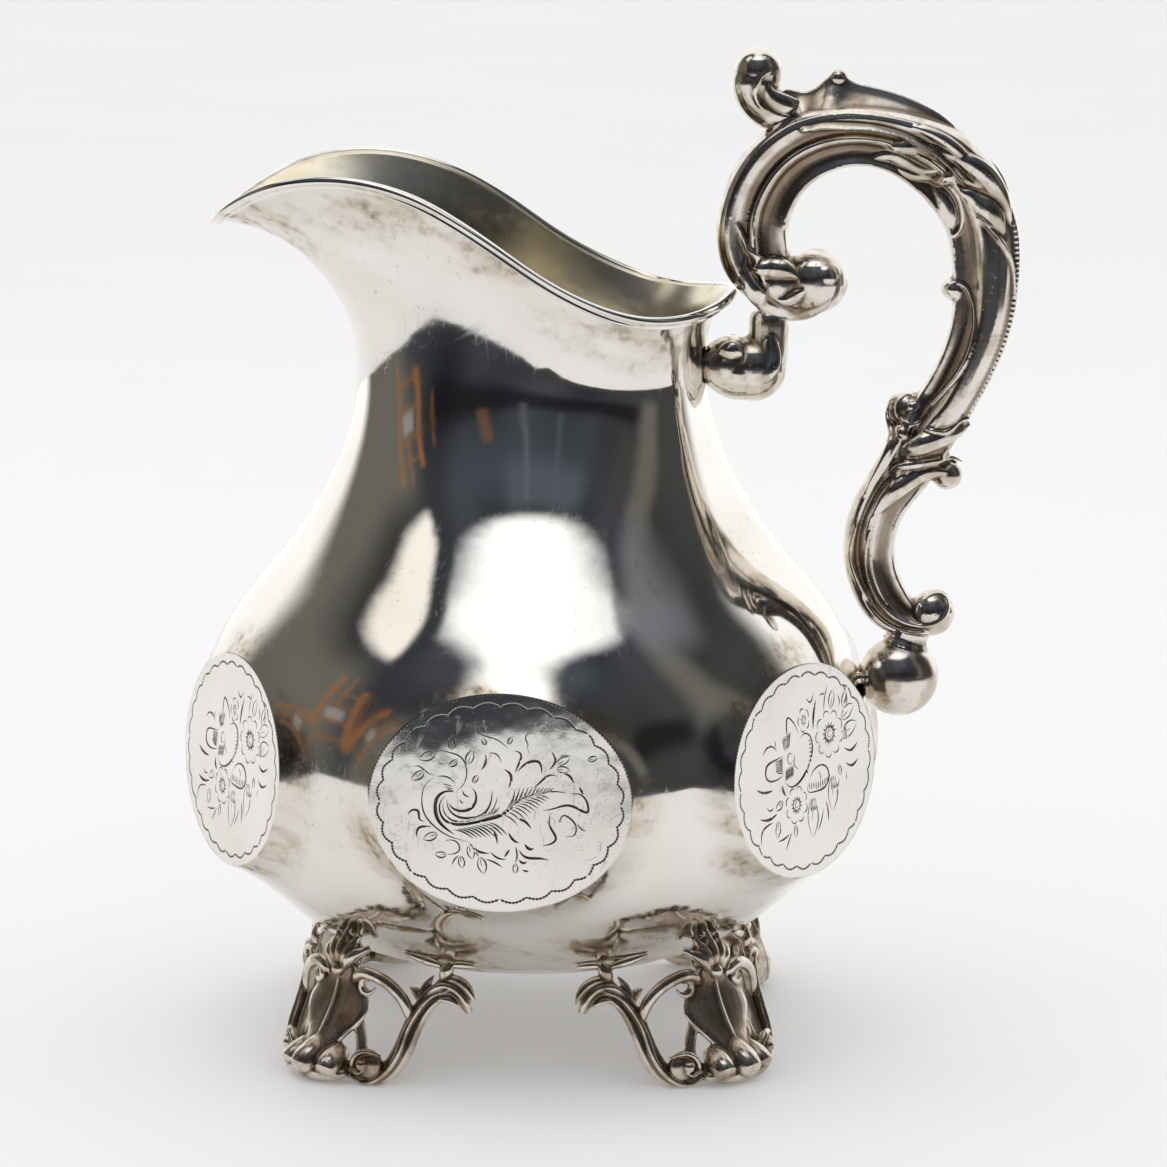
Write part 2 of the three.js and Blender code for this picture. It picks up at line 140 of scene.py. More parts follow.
# ---- meshes ----
def grid_faces(rows, columns, wraps):
    """Quads of a grid of points; with `wraps` its last column meets its first."""
    i, j = np.meshgrid(np.arange(rows - 1), np.arange(columns if wraps else columns - 1), indexing="ij")
    k = (j + 1) % columns
    return np.stack([i * columns + j, i * columns + k, (i + 1) * columns + k,
                     (i + 1) * columns + j], -1).reshape(-1, 4)


def closed_faces(rings, around_ring):
    """Faces of a skin whose rings close on themselves and whose last ring meets its first."""
    i, j = np.meshgrid(np.arange(rings), np.arange(around_ring), indexing="ij")
    i2, j2 = (i + 1) % rings, (j + 1) % around_ring
    return np.stack([i * around_ring + j, i2 * around_ring + j, i2 * around_ring + j2,
                     i * around_ring + j2], -1).reshape(-1, 4).tolist()


def set_mark(mesh, title, values):
    """Stores a number per point, which the materials read."""
    mesh.attributes.new(title, "FLOAT", "POINT").data.foreach_set("value", np.asarray(values, np.float32))


def read(items, title):
    """One three-number property of all the points or faces of a mesh, as rows."""
    values = np.empty(len(items) * 3, np.float32)
    items.foreach_get(title, values)
    return values.reshape(-1, 3)


def make_piece(name, points, faces, material, marks=None, weld=0.0):
    """A smooth-shaded mesh object. `points` are in mm from the jug's axis, `marks` a number per point."""
    mesh = bpy.data.meshes.new(name)
    placed = (np.asarray(points, float) + (AXIS_X, 0, 0)) * MM
    sizes = np.array([len(f) for f in faces])
    mesh.vertices.add(len(placed))
    mesh.vertices.foreach_set("co", placed.astype(np.float32).ravel())
    mesh.loops.add(int(sizes.sum()))
    mesh.loops.foreach_set("vertex_index", np.concatenate([np.asarray(f) for f in faces]).astype(np.int32))
    mesh.polygons.add(len(faces))
    mesh.polygons.foreach_set("loop_start", np.concatenate([[0], np.cumsum(sizes)[:-1]]).astype(np.int32))
    mesh.update(calc_edges=True)
    for title, values in (marks or {}).items():
        set_mark(mesh, title, values)
    piece = bpy.data.objects.new(name, mesh)
    bpy.context.scene.collection.objects.link(piece)
    if weld:
        work = bmesh.new()
        work.from_mesh(mesh)
        bmesh.ops.remove_doubles(work, verts=work.verts, dist=weld * MM)
        work.to_mesh(mesh)
        work.free()
    mesh.shade_smooth()
    mesh.materials.append(material)
    return piece


def bake_modifiers(piece):
    """Puts the result of a piece's modifiers into its mesh."""
    bpy.context.view_layer.update()
    graph = bpy.context.evaluated_depsgraph_get()
    result = bpy.data.meshes.new_from_object(piece.evaluated_get(graph), preserve_all_data_layers=True,
                                             depsgraph=graph)
    piece.modifiers.clear()
    piece.data = result


def settle(piece, slot, *nodes):
    """The piece rides with the jug and stands for these CAD nodes."""
    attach(piece, "root")
    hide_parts(*nodes)


# ---- materials ----
def new_material(name):
    material = bpy.data.materials.new(name)
    material.use_nodes = True
    return material, material.node_tree.nodes, material.node_tree.links


class Shader:
    """A material under construction, with short calls for its nodes."""

    def __init__(self, name):
        self.material, self.nodes, self.links = new_material(name)
        self.surface = self.nodes["Principled BSDF"]
        self.place = self.add("ShaderNodeTexCoord").outputs["Object"]

    def add(self, kind, *inputs, **settings):
        node = self.nodes.new(kind)
        for title, value in settings.items():
            setattr(node, title, value)
        for index, value in inputs:
            self.join(value, node.inputs[index])
        return node

    def join(self, value, socket):
        if isinstance(value, bpy.types.NodeSocket):
            self.links.new(value, socket)
        else:
            socket.default_value = value

    def noise(self, scale, detail=3.0, stretch=(1, 1, 1), turn=(0, 0, 0), shift=0.0):
        where = self.place
        if stretch != (1, 1, 1) or turn != (0, 0, 0) or shift:
            where = self.add("ShaderNodeMapping", ("Vector", where), ("Scale", tuple(1 / s for s in stretch)),
                             ("Rotation", turn), ("Location", (shift, shift, shift)),
                             vector_type="TEXTURE").outputs["Vector"]
        return self.add("ShaderNodeTexNoise", ("Vector", where), ("Scale", scale),
                        ("Detail", detail)).outputs["Fac"]

    def fade(self, value, low, high):
        """0 below `low`, 1 above `high`, smooth between."""
        return self.add("ShaderNodeMapRange", ("Value", value), ("From Min", low), ("From Max", high),
                        interpolation_type="SMOOTHSTEP").outputs["Result"]

    def math(self, operation, first, second):
        return self.add("ShaderNodeMath", (0, first), (1, second), operation=operation).outputs["Value"]

    def times(self, *values):
        result = values[0]
        for value in values[1:]:
            result = self.math("MULTIPLY", result, value)
        return result

    def plus(self, *values):
        result = values[0]
        for value in values[1:]:
            result = self.math("ADD", result, value)
        return result

    def tint(self, amount, under, over):
        node = self.add("ShaderNodeMix", ("Factor", amount), data_type="RGBA")
        for socket, color in ((node.inputs[6], under), (node.inputs[7], over)):
            self.join(color if isinstance(color, bpy.types.NodeSocket) else (*color, 1), socket)
        return node.outputs[2]

    def attribute(self, title):
        return self.add("ShaderNodeAttribute", attribute_name=title).outputs["Fac"]

    def scratches(self, seeds, scale, thin):
        """Fine straight scratches lying in many directions; a higher `thin` makes them finer."""
        result = None
        for seed in seeds:
            turn = (0.9 * seed, 1.7 * seed, 2.3 * seed)
            lines = self.noise(scale, 1.0, (1.0, 22.0, 22.0), turn, 3.1 * seed)
            gaps = self.noise(scale * 2.4, 1.0, shift=1.7 * seed)
            mark = self.times(self.fade(lines, thin - 0.03, thin), self.fade(gaps, 0.48, 0.56))
            result = mark if result is None else self.math("MAXIMUM", result, mark)
        return result

    def relief(self, *layers):
        """Bumps as (height value, strength, depth in metres) from the coarsest to the finest."""
        normal = None
        for height, strength, depth in layers:
            inputs = [("Height", height), ("Strength", strength), ("Distance", depth)]
            if normal is not None:
                inputs.append(("Normal", normal))
            normal = self.add("ShaderNodeBump", *inputs).outputs["Normal"]
        self.links.new(normal, self.surface.inputs["Normal"])

    def finish(self, color, roughness, metallic=1.0):
        for title, value in (("Base Color", color), ("Roughness", roughness), ("Metallic", metallic)):
            self.join(value, self.surface.inputs[title])
        return self.material


def sheet_silver():
    """Raised and polished sheet: faint hammer waves, wear scratches, brown tarnish with painted shade low on
    the belly, dark engraving.
    """
    make = Shader("body_silver")
    inside = make.attribute("inside")
    tarnish_and_shade = make.attribute("tarnish_and_shade")
    cut = make.fade(make.attribute("cut"), 0.002, 0.030)
    clouds = make.fade(make.noise(34.0, 6.0), 0.44, 0.68)
    drifts = make.fade(make.noise(15.0, 5.0, (1, 1, 2.6), (0.3, 0.2, 0)), 0.50, 0.74)
    smears = make.fade(make.noise(60.0, 7.0, (1, 1, 3.2), (0.2, 0.35, 0)), 0.40, 0.78)
    specks = make.times(make.fade(make.noise(800.0, 3.0), 0.62, 0.70), drifts)
    pits = make.fade(make.noise(1700.0, 2.0), 0.73, 0.77)
    dust = make.fade(make.noise(520.0, 6.0), 0.42, 0.72)
    # The brown film is tarnish, and low on the belly it is painted shade as well.
    film_and_shade = make.plus(make.times(tarnish_and_shade, smears, 0.9), make.times(tarnish_and_shade, 0.22), make.times(drifts, 0.28))
    stain = make.math("MINIMUM", make.plus(make.times(tarnish_and_shade, smears, dust, 1.3), make.times(specks, 0.5),
                                           make.times(pits, 0.35)), 0.9)
    warm = make.tint(make.times(clouds, 0.6), (0.885, 0.862, 0.818), (0.820, 0.775, 0.705))
    filmed_and_shaded = make.tint(film_and_shade, warm, (0.58, 0.50, 0.39))
    stained = make.tint(stain, filmed_and_shaded, (0.235, 0.165, 0.100))
    gilt = make.tint(make.fade(make.noise(48.0, 6.0), 0.34, 0.66), (0.90, 0.79, 0.55), (0.66, 0.62, 0.52))
    lined = make.tint(make.times(inside, 0.9), stained, gilt)
    color = make.tint(cut, lined, (0.130, 0.118, 0.105))
    marks = make.scratches((1.0, 2.0, 3.0, 4.0), 42.0, 0.70)
    rubs = make.times(make.scratches((11.0, 12.0, 13.0, 14.0), 120.0, 0.69), clouds)
    roughness = make.plus(0.05, make.times(clouds, 0.03), make.times(film_and_shade, 0.10), make.times(stain, 0.25),
                          make.times(marks, 0.04), make.times(rubs, 0.16),
                          make.times(inside, 0.20), make.times(cut, 0.35))
    make.relief((make.noise(44.0, 1.0), 0.34, 0.0006), (make.noise(150.0, 2.0), 0.12, 0.0002),
                (make.noise(2400.0, 3.0), 0.04, 0.00002))
    return make.finish(color, roughness)


def cast_metal(name, bright, worn, hollow_at, brown, cover, low_rough):
    """Cast silver: `bright` and `worn` where it is rubbed, `brown` where the hollow mark is in `hollow_at`."""
    make = Shader(name)
    hollow = make.attribute("hollow")
    rough_cast = make.noise(700.0, 4.0)
    drifts = make.noise(70.0, 5.0)
    shaken = make.plus(hollow, make.times(make.math("SUBTRACT", drifts, 0.5), 0.85),
                       make.times(make.math("SUBTRACT", rough_cast, 0.5), 0.25))
    dark = make.times(make.fade(shaken, *hollow_at), cover)
    patches = make.fade(make.noise(210.0, 5.0), 0.47, 0.62)
    pits = make.fade(make.noise(1300.0, 3.0), 0.66, 0.72)
    metal = make.tint(patches, bright, worn)
    color = make.tint(make.math("MAXIMUM", dark, make.times(pits, 0.55)), metal, brown)
    marks = make.scratches((5.0, 6.0, 7.0), 20.0, 0.72)
    roughness = make.plus(low_rough, make.times(patches, 0.04), make.times(dark, 0.13), make.times(pits, 0.2),
                          make.times(marks, 0.08))
    make.relief((make.noise(120.0, 2.0), 0.18, 0.0004), (make.noise(900.0, 3.0), 0.12, 0.00012),
                (make.math("SUBTRACT", 1.0, make.math("MAXIMUM", marks, pits)), 0.25, 0.00005))
    return make.finish(color, roughness)


body_silver = sheet_silver()
cast_silver = cast_metal("cast_silver", (0.80, 0.745, 0.675), (0.60, 0.52, 0.43), (-0.40, 0.60),
                         (0.215, 0.150, 0.098), 0.86, 0.15)
foot_metal = cast_metal("foot_metal", (0.78, 0.70, 0.61), (0.45, 0.36, 0.275), (-0.62, 0.40),
                        (0.200, 0.135, 0.088), 0.90, 0.20)

# ---- body ----
side_points = np.array(SIDE)
side_length = chords(side_points)
rim_reach, rim_height, rim_flare, neck_pull, lip_pull, neck_pinch = (
    spline(RIM_ANGLE, values, True)
    for values in (RIM_REACH, RIM_HEIGHT, RIM_FLARE, NECK_PULL, LIP_PULL, NECK_PINCH))


def from_handle(turn):
    """Degrees from the handle, 0 to 180, the same on both sides."""
    return np.degrees(np.abs(np.arctan2(np.sin(turn), np.cos(turn))))


def lip(turn):
    """The rim's edge (radius, height), the direction in which the sheet runs into it, and outwards."""
    degrees = from_handle(turn)
    lean = math.radians(float(rim_flare(degrees)))
    along = np.array([math.sin(lean), math.cos(lean)])
    return np.array([rim_reach(degrees), rim_height(degrees)]), along, np.array([along[1], -along[0]])


def meridian(turn):
    """The whole outline of the body at this angle, as a function of length, and its total length."""
    edge, along, _ = lip(turn)
    degrees = from_handle(turn)
    above = (side_points[:, 1] - PINCH_START) / (side_points[-1, 1] - PINCH_START)
    grown = np.clip(above, 0, 1) ** PINCH_GROWTH
    sides = side_points * np.column_stack([1 - float(neck_pinch(degrees)) * grown, np.ones(len(grown))])
    start, before = sides[-1], sides[-2]
    rise = (start - before) / np.linalg.norm(start - before)
    first, second = start + rise * neck_pull(degrees), edge - along * lip_pull(degrees)
    neck = [(1 - t) ** 3 * start + 3 * (1 - t) ** 2 * t * first + 3 * (1 - t) * t * t * second + t ** 3 * edge
            for t in NECK_SAMPLES]
    points = np.vstack([sides, neck])
    length = chords(points)
    return spline(length, points), length[-1]


standard, _ = meridian(0.0)
probe = np.linspace(0, side_length[-1], PROBES)
probe_points = standard(probe)


def length_at_height(z):
    return np.interp(z, probe_points[:, 1], probe)


def side_radius(z):
    return np.interp(z, probe_points[:, 1], probe_points[:, 0])


FOOT_LENGTH, TOP_LENGTH, BLEND_LENGTH = (float(length_at_height(z))
                                         for z in (SECTOR_FOOT, SECTOR_TOP, BLEND_HEIGHT))
turns = 2 * np.pi * np.arange(COLUMNS) / COLUMNS
boss_turns = [-np.pi / 2 + 2 * np.pi * k / BOSSES for k in range(BOSSES)]


def around(radius, z, turn):
    """Points at this radius and height, turned round the axis."""
    return np.stack([radius * np.cos(turn), radius * np.sin(turn), z + 0 * turn], -1)


def boss_face(z):
    """How far from the axis the flat face of a boss is at this height."""
    return BOSS_REACH - BOSS_SLOPE * (z - BOSS_HEIGHT)


def skirt_spread(angle):
    """How far the swelling spreads from the edge of the oval at this angle."""
    up = np.sin(angle)
    return (SKIRT_SIDE + (SKIRT_ABOVE - SKIRT_SIDE) * smoothstep(*SKIRT_TURN, up)
            + (SKIRT_BELOW - SKIRT_SIDE) * smoothstep(*SKIRT_TURN, -up))


def boss_lift(y, z):
    """How far the surface moves out, along the boss's own direction, at (y, z) on the front of a boss."""
    angle = np.arctan2((z - BOSS_HEIGHT) / BOSS_TALL, y / BOSS_WIDE)
    edge_y, edge_z = BOSS_WIDE * np.cos(angle), BOSS_HEIGHT + BOSS_TALL * np.sin(angle)
    outside = np.hypot(y - edge_y, z - edge_z)
    inside = (y / BOSS_WIDE) ** 2 + ((z - BOSS_HEIGHT) / BOSS_TALL) ** 2 <= 1.0
    fall = np.clip(1 - outside / skirt_spread(angle), 0, 1) ** 3
    edge_gap = boss_face(edge_z) - np.sqrt(side_radius(edge_z) ** 2 - edge_y ** 2)
    here = boss_face(z) - np.sqrt(np.maximum(side_radius(z) ** 2 - y ** 2, 1))
    return np.where(inside, here, edge_gap * fall)


def sector(strokes):
    """One sixth of the belly round its boss, as points (x out, y, z), triangles and engraving marks.
    `strokes` are engraved lines on the boss: outlines of (y, z) with a middle line that is cut in."""
    half = np.pi / BOSSES
    across = np.linspace(-half, half, COLUMNS // BOSSES + 1)
    lengths = np.linspace(FOOT_LENGTH, TOP_LENGTH, SECTOR_ROWS + 1)
    rows = standard(lengths)
    flat, edges = [], []
    columns = len(across)
    keep = {}
    angle = 2 * np.pi * np.arange(OVAL_POINTS) / OVAL_POINTS
    spread = skirt_spread(angle)
    normal = np.stack([np.cos(angle) / BOSS_WIDE, np.sin(angle) / BOSS_TALL], -1)
    normal /= np.linalg.norm(normal, axis=1)[:, None]
    for i, (radius, z) in enumerate(rows):
        for j, turn in enumerate(across):
            y = radius * math.sin(turn)
            a = math.atan2((z - BOSS_HEIGHT) / BOSS_TALL, y / BOSS_WIDE)
            k = int(round(a / (2 * np.pi) * OVAL_POINTS)) % OVAL_POINTS
            edge = np.array([BOSS_WIDE * math.cos(a), BOSS_HEIGHT + BOSS_TALL * math.sin(a)])
            out = math.hypot(y, z - BOSS_HEIGHT) > math.hypot(edge[0], edge[1] - BOSS_HEIGHT)
            if out and math.hypot(y - edge[0], z - edge[1]) > spread[k] * SKIRT_CLEAR:
                keep[i, j] = len(flat)
                flat.append((y, z))
    border = [(0, j) for j in range(columns)] + [(i, columns - 1) for i in range(1, SECTOR_ROWS + 1)]
    border += [(SECTOR_ROWS, j) for j in range(columns - 2, -1, -1)]
    border += [(i, 0) for i in range(SECTOR_ROWS - 1, 0, -1)]
    loop = [keep[b] for b in border]
    edges += list(zip(loop, loop[1:] + loop[:1]))
    for share in SKIRT_RINGS:
        ring = np.stack([BOSS_WIDE * np.cos(angle), BOSS_HEIGHT + BOSS_TALL * np.sin(angle)], -1)
        ring = ring + normal * (share * spread)[:, None]
        first = len(flat)
        flat += [tuple(p) for p in ring]
        edges += [(first + k, first + (k + 1) % OVAL_POINTS) for k in range(OVAL_POINTS)]
    for share in FACE_RINGS:
        step = max(1, int(round(FACE_RING_STEP / share)))
        flat += [(share * BOSS_WIDE * math.cos(a), BOSS_HEIGHT + share * BOSS_TALL * math.sin(a))
                 for a in angle[::step]]
    marks = {}
    for outline, middle, depth in strokes:
        first = len(flat)
        flat += [tuple(p) for p in outline]
        n = len(outline)
        edges += [(first + k, first + (k + 1) % n) for k in range(n)]
        inner = len(flat)
        flat += [tuple(p) for p in middle]
        edges += [(inner + k, inner + k + 1) for k in range(len(middle) - 1)]
        for k in range(len(middle)):
            marks[inner + k] = depth
    points, _, faces, origin, _, _ = delaunay_2d_cdt([Vector(p) for p in flat], edges, [], 0, 1e-6)
    yz = np.array([tuple(p) for p in points])
    depth = np.zeros(len(points))
    for index, sources in enumerate(origin):
        depth[index] = max([marks.get(s, 0) for s in sources] or [0])
    x = np.sqrt(np.maximum(side_radius(yz[:, 1]) ** 2 - yz[:, 0] ** 2, 1)) + boss_lift(yz[:, 0], yz[:, 1])
    return np.column_stack([x - depth, yz]), [tuple(f) for f in faces], depth


def body_parts():
    """Points, faces and marks of the body: its outside, its inside and the edges that join them."""
    points, faces, depth = [], [], []
    count = 0

    def add(new_points, new_faces, new_depth=None):
        nonlocal count
        points.append(new_points)
        faces.extend([tuple(v + count for v in f) for f in new_faces])
        depth.append(np.zeros(len(new_points)) if new_depth is None else new_depth)
        count += len(new_points)

    low = standard(np.linspace(0, FOOT_LENGTH, LOWER_ROWS + 1))
    grid = np.array([around(r, z, turns) for r, z in low])
    add(grid.reshape(-1, 3), grid_faces(len(low), COLUMNS, True).tolist())

    grid = upper_grid(UPPER_ROWS + 1)
    add(grid.reshape(-1, 3), grid_faces(UPPER_ROWS + 1, COLUMNS, True).tolist())
    rim_outside = grid[-1]

    patches = [sector(engraving(k)) for k in range(2)]
    for k, turn in enumerate(boss_turns):
        local, triangles, cut = patches[0 if k % 3 == 0 else 1]
        cos, sin = math.cos(turn), math.sin(turn)
        turned = np.column_stack([local[:, 0] * cos - local[:, 1] * sin,
                                  local[:, 0] * sin + local[:, 1] * cos, local[:, 2]])
        add(turned, triangles, cut)

    inside = inner_surface()
    add(inside.reshape(-1, 3), grid_faces(len(inside), COLUMNS, True)[:, ::-1].tolist())
    add(np.concatenate([rim_outside, inside[-1]]), grid_faces(2, COLUMNS, True).tolist())
    base_edge = around(*low[0], turns)
    add(np.concatenate([base_edge, inside[0]]), grid_faces(2, COLUMNS, True)[:, ::-1].tolist())
    return np.concatenate(points), faces, np.concatenate(depth)


def upper_grid(rows):
    """The body above the bosses, where the outline shared by all sides turns into each side's own."""
    share = np.linspace(0, 1, rows)
    columns = []
    for turn in turns:
        own, end = meridian(turn)
        length = TOP_LENGTH + (end - TOP_LENGTH) * share
        mix = smoothstep(TOP_LENGTH, BLEND_LENGTH, length)[:, None]
        blended = standard(np.minimum(length, side_length[-1])) * (1 - mix) + own(length) * mix
        outline = np.where(length[:, None] < side_length[-1], blended, own(length))
        columns.append(around(outline[:, 0], outline[:, 1], np.full(rows, turn)))
    return np.array(columns).transpose(1, 0, 2)


def inner_surface():
    """The inside of the sheet, one wall's thickness in from the outside."""
    surface = []
    for r, z in standard(np.linspace(0, TOP_LENGTH, INNER_ROWS)[:-1]):
        ring = around(r, z, turns)
        for turn in boss_turns:
            away = np.arctan2(np.sin(turns - turn), np.cos(turns - turn))
            here = np.abs(away) <= np.pi / BOSSES + 1e-9
            lift = boss_lift(r * np.sin(away), np.full(COLUMNS, z))
            ring[here, 0] += lift[here] * math.cos(turn)
            ring[here, 1] += lift[here] * math.sin(turn)
        surface.append(ring)
    surface = np.concatenate([np.array(surface), upper_grid(INNER_ROWS)])
    along = np.gradient(surface, axis=0)
    round_ = np.roll(surface, -1, axis=1) - np.roll(surface, 1, axis=1)
    normal = np.cross(round_, along)
    normal /= np.linalg.norm(normal, axis=2)[..., None]
    return surface - normal * WALL


# ---- engraving on the bosses ----
# Each cut is (widest part, points), in mm from the middle of the oval: across, then up.
SHELL_CUTS = [
    (.22, [(-10, 4), (-11.7, 2.6), (-12.2, .3), (-11.7, -2), (-10.3, -3.7), (-8.3, -5.1), (-4.5, -6.2)]),
    (.22, [(-10, 4), (-8.9, 4.1), (-7.7, 3.7), (-7, 2.9)]),
    (.18, [(-9.2, 2.9), (-8.2, 2.75), (-7.3, 2.4)]), (.18, [(-8.9, 2.5), (-7.2, 2.1)]),
    (.18, [(-8.6, 2.15), (-7.1, 1.8)]),
    (.5, [(-7, 1.6), (-8.3, 1.7), (-9.7, .9), (-10.1, -.8), (-9.6, -2.8), (-8.3, -4.2), (-7, -5.1)]),
    (.5, [(-8.3, 1.2), (-9.3, 0), (-9.4, -1.4), (-8.6, -2.8), (-7, -3.4), (-4.8, -3.2), (-2, -2.5), (.7, -1.5),
          (2.4, 0), (4, 1), (6.3, 1.7), (9, 2), (10.8, 1.7)]),
    (.35, [(-8.3, .6), (-8.1, -.8), (-7, -2), (-4.8, -2.4), (-2.6, -1.7), (-1.5, 0), (-1.2, 2.3)]),
    (.3, [(-8.9, .2), (-8.8, -1.3), (-7.6, -2.7), (-4.8, -2.8), (-2.3, -2.1), (-.9, -.6), (-.4, 1.2)]),
    (.42, [(-8.1, 0), (-7.5, -.8), (-5.9, -1.3), (-4.5, -.8), (-3.8, .3), (-3.9, 1.7), (-4.5, 2.4)]),
    (.22, [(-6.3, .7), (-6, 0), (-5.5, -.1)]), (.25, [(-5.9, 2), (-5.5, 1.2), (-4.6, .9)]),
    (.22, [(-7, 1.7), (-5.9, 2.6), (-5.3, 4), (-5.3, 5.7), (-6.1, 7.1), (-7.8, 7.8), (-9.7, 8), (-11.2, 7.1)]),
    (.36, [(10.8, 1.7), (13.1, 1.2), (13.6, -1.1), (12, -.5), (10.4, -.1), (7.9, -.8), (6.5, -1)]),
    (.34, [(12.3, 2.9), (13, 1.6)]), (.34, [(7.9, -1.4), (7.8, -3.4), (8.7, -5.5), (7.9, -6.2), (6.5, -6.5)]),
    (.36, [(2.4, -2.2), (4, -2.8), (4.9, -3.9)]), (.36, [(1.3, -4.5), (2.4, -5.9), (3.1, -6.2)]),
    (.32, [(.7, -8.5), (1.1, -7.8), (1.6, -7.1)]), (.36, [(-1.5, -7.9), (-3.7, -7.4), (-4.8, -6.2)]),
    (.28, [(-1.5, -7.6), (-.4, -8.5), (1.1, -8.8)]), (.34, [(-2.3, -3.4), (-.6, -5.1), (-.4, -6.5)]),
    (.26, [(9.8, -2.2), (9.3, -2.8), (9.7, -1.8), (10.9, -2.1), (11.9, -3.7), (11.5, -4.8), (10.1, -4.9)]),
    (.2, [(12, -2.8), (12.9, -3.9), (13.6, -4.1)]), (.34, [(-2.3, 7.7), (-2.3, 6.3), (-3, 5.1)]),
    (.2, [(-2, 7.8), (-.6, 7.7), (.2, 6.3)]), (.38, [(.5, 5.4), (1.6, 4.6), (1.3, 2.3)]),
    (.32, [(2.1, 8.3), (3.2, 7.8), (2.9, 6.3), (2.3, 4.7)]),
    (.38, [(2.7, 4.9), (4, 6.3), (6, 6.6), (6.5, 4.6)]),
    (.3, [(5.2, 2.4), (6.5, 3.7), (7.9, 4.6), (9, 4.3)]), (.34, [(7.9, 8.3), (8.6, 7.1), (7.6, 5.3)]),
    (.22, [(8.7, 6.3), (9.3, 7.4), (11.2, 7.6)]), (.34, [(9.6, 4.9), (10.7, 4.6), (11.5, 3.3)]),
    (.2, [(-3.9, 11.7), (-3.4, 12.2), (-3.4, 11.4), (-2, 10.4), (-.1, 9.7), (1.4, 8.4)]),
    (.2, [(5.3, 11.1), (4.3, 11), (3.9, 10.3), (4.3, 9.4), (4.1, 8.4)]),
    (.22, [(-13.7, 5.4), (-12.8, 5.6), (-11.6, 4.8), (-10.2, 4.1)]),
    (.34, [(-14.4, -2.2), (-13.9, -1.4), (-12.8, -1.4), (-12.5, -2.8), (-11.7, -3.1)]),
    (.34, [(-13, -5.7), (-12.8, -4.2), (-10.6, -3.9)]),
    (.22, [(-8.8, -6.2), (-7.8, -5.9), (-6.7, -6.2), (-6.3, -7.4), (-7.5, -8.1), (-8.8, -8.2)]),
    (.22, [(-7.5, -9.9), (-7.2, -9.1), (-6.3, -8.2)]), (.22, [(-4.4, -6.8), (-3.8, -7.6), (-3.2, -8.6)]),
    (.26, [(-2.3, -8.8), (-.9, -9.2), (.5, -10.1)]), (.26, [(2.4, -6.5), (2.7, -8.2), (2.4, -9.4)]),
    (.38, [(2.9, -7.1), (3.8, -8.2), (6.3, -8.5), (7.8, -8.8)]), (.42, [(3.8, -6.2), (4.9, -7.1), (5.4, -6.9)]),
    (.36, [(2.9, -8.7), (3.8, -9.3), (4.3, -9)]), (.3, [(3.5, -10.4), (4.6, -10.6)]),
]
# Engraved leaves: root across, root up, direction in degrees, length.
SHELL_LEAVES = [
    (-10, 7.9, 205, 3), (-11.8, 4.9, 215, 2.6), (-7.4, 8.1, 92, 2.4), (-5.1, 5.9, 70, 2.6),
    (-6.6, 6.7, 215, 1.9),
    (-4.2, 3, 60, 1.6), (-2.1, 9, 120, 1.4), (1.2, 9.2, 60, 1.4), (8.8, 6.2, 30, 2.4), (8.7, 5.5, -5, 2.2),
    (13.6, 6.9, 20, 1.7), (-9.7, -4.8, 205, 2.6), (-8.2, -8.2, 178, 2), (-6.2, -8.3, -80, 2.1),
    (-3.2, -8.4, -75, 2.9), (-4.9, -6.6, -75, 2.4), (2.4, -9.3, -90, 1.7),
]
POSY_CUTS = [
    (.42, [(-1.5, 5.3), (.4, 5.9), (1.9, 5.1), (2.3, 3.6), (1.9, 2.1), (-.6, -.7), (-4.9, -1.7), (-6.2, -.7)]),
    (.24, [(-2.9, 3.2), (-3.2, 1.6), (-2, .5)]),
    (.3, [(-5.8, 4.4), (-4.9, 7.1), (-4.5, 9.2), (-2.4, 7.8), (-1.5, 6)]),
    (.34, [(-6.2, 3.5), (-8.8, 3.2), (-11.4, 2.3), (-11.4, .9), (-9.2, 0), (-6.2, .5)]),
    (.34, [(.6, -2), (1.9, -.7), (3.6, 0), (6.2, -.7), (6.7, -2.3), (5.4, -3.6), (2.8, -3.9), (.2, -3.2),
           (.6, -2)]),
    (.22, [(3.4, -.8), (4.2, -1.4), (4, -2.6)]), (.42, [(-14.4, -.4), (-13.1, -1.1), (-9.7, -1.4)]),
    (.42, [(-13.9, -5.3), (-11.8, -5.8), (-8.8, -5.3)]),
    (.3, [(-13.9, -9.6), (-13.5, -7.5), (-11.4, -6.6), (-10.1, -6.5)]),
    (.26, [(-11.8, -3.6), (-11.2, -4.4), (-9.7, -4.2)]), (.28, [(-9.2, -9.8), (-7.5, -9.7), (-5.6, -9.2)]),
    (.24, [(-7.1, -11.7), (-6.2, -10.5), (-4.9, -8.9)]), (.26, [(1.1, 11.7), (2.4, 10.6), (3.6, 11.9)]),
    (.46, [(2.8, 6), (3.1, 8.2), (4.1, 10.8)]), (.24, [(6.2, 8.4), (6.7, 10.6), (7.7, 12.4)]),
    (.24, [(5, 11.1), (6.3, 11.3), (7.2, 10.6)]), (.32, [(11.8, 11.7), (13.1, 10.6), (12.2, 8.1)]),
    (.24, [(10.4, 10.6), (11, 9.2), (10.6, 8.4)]), (.38, [(11.8, -.9), (13.5, -1.7), (15.7, -.9)]),
    (.38, [(11.6, 1.6), (13.4, .8), (15.9, 1.9)]), (.3, [(-12.2, 4.4), (-10.9, 5.5), (-8.8, 5.3), (-7.9, 4.4)]),
    (.24, [(-8.4, 6.4), (-8.2, 5.1)]), (.34, [(5.4, -5.9), (5.9, -7.8), (5.8, -9.4)]),
    (.2, [(12, -2.2), (11.8, -3.8)]),
    (.2, [(9.8, -3), (8.6, -5.4)]), (.24, [(4.6, -7), (3.2, -9.6), (2.4, -10.4)]),
    (.5, [(-7, -1), (-6.6, -2.4), (-6, -3)]),
]
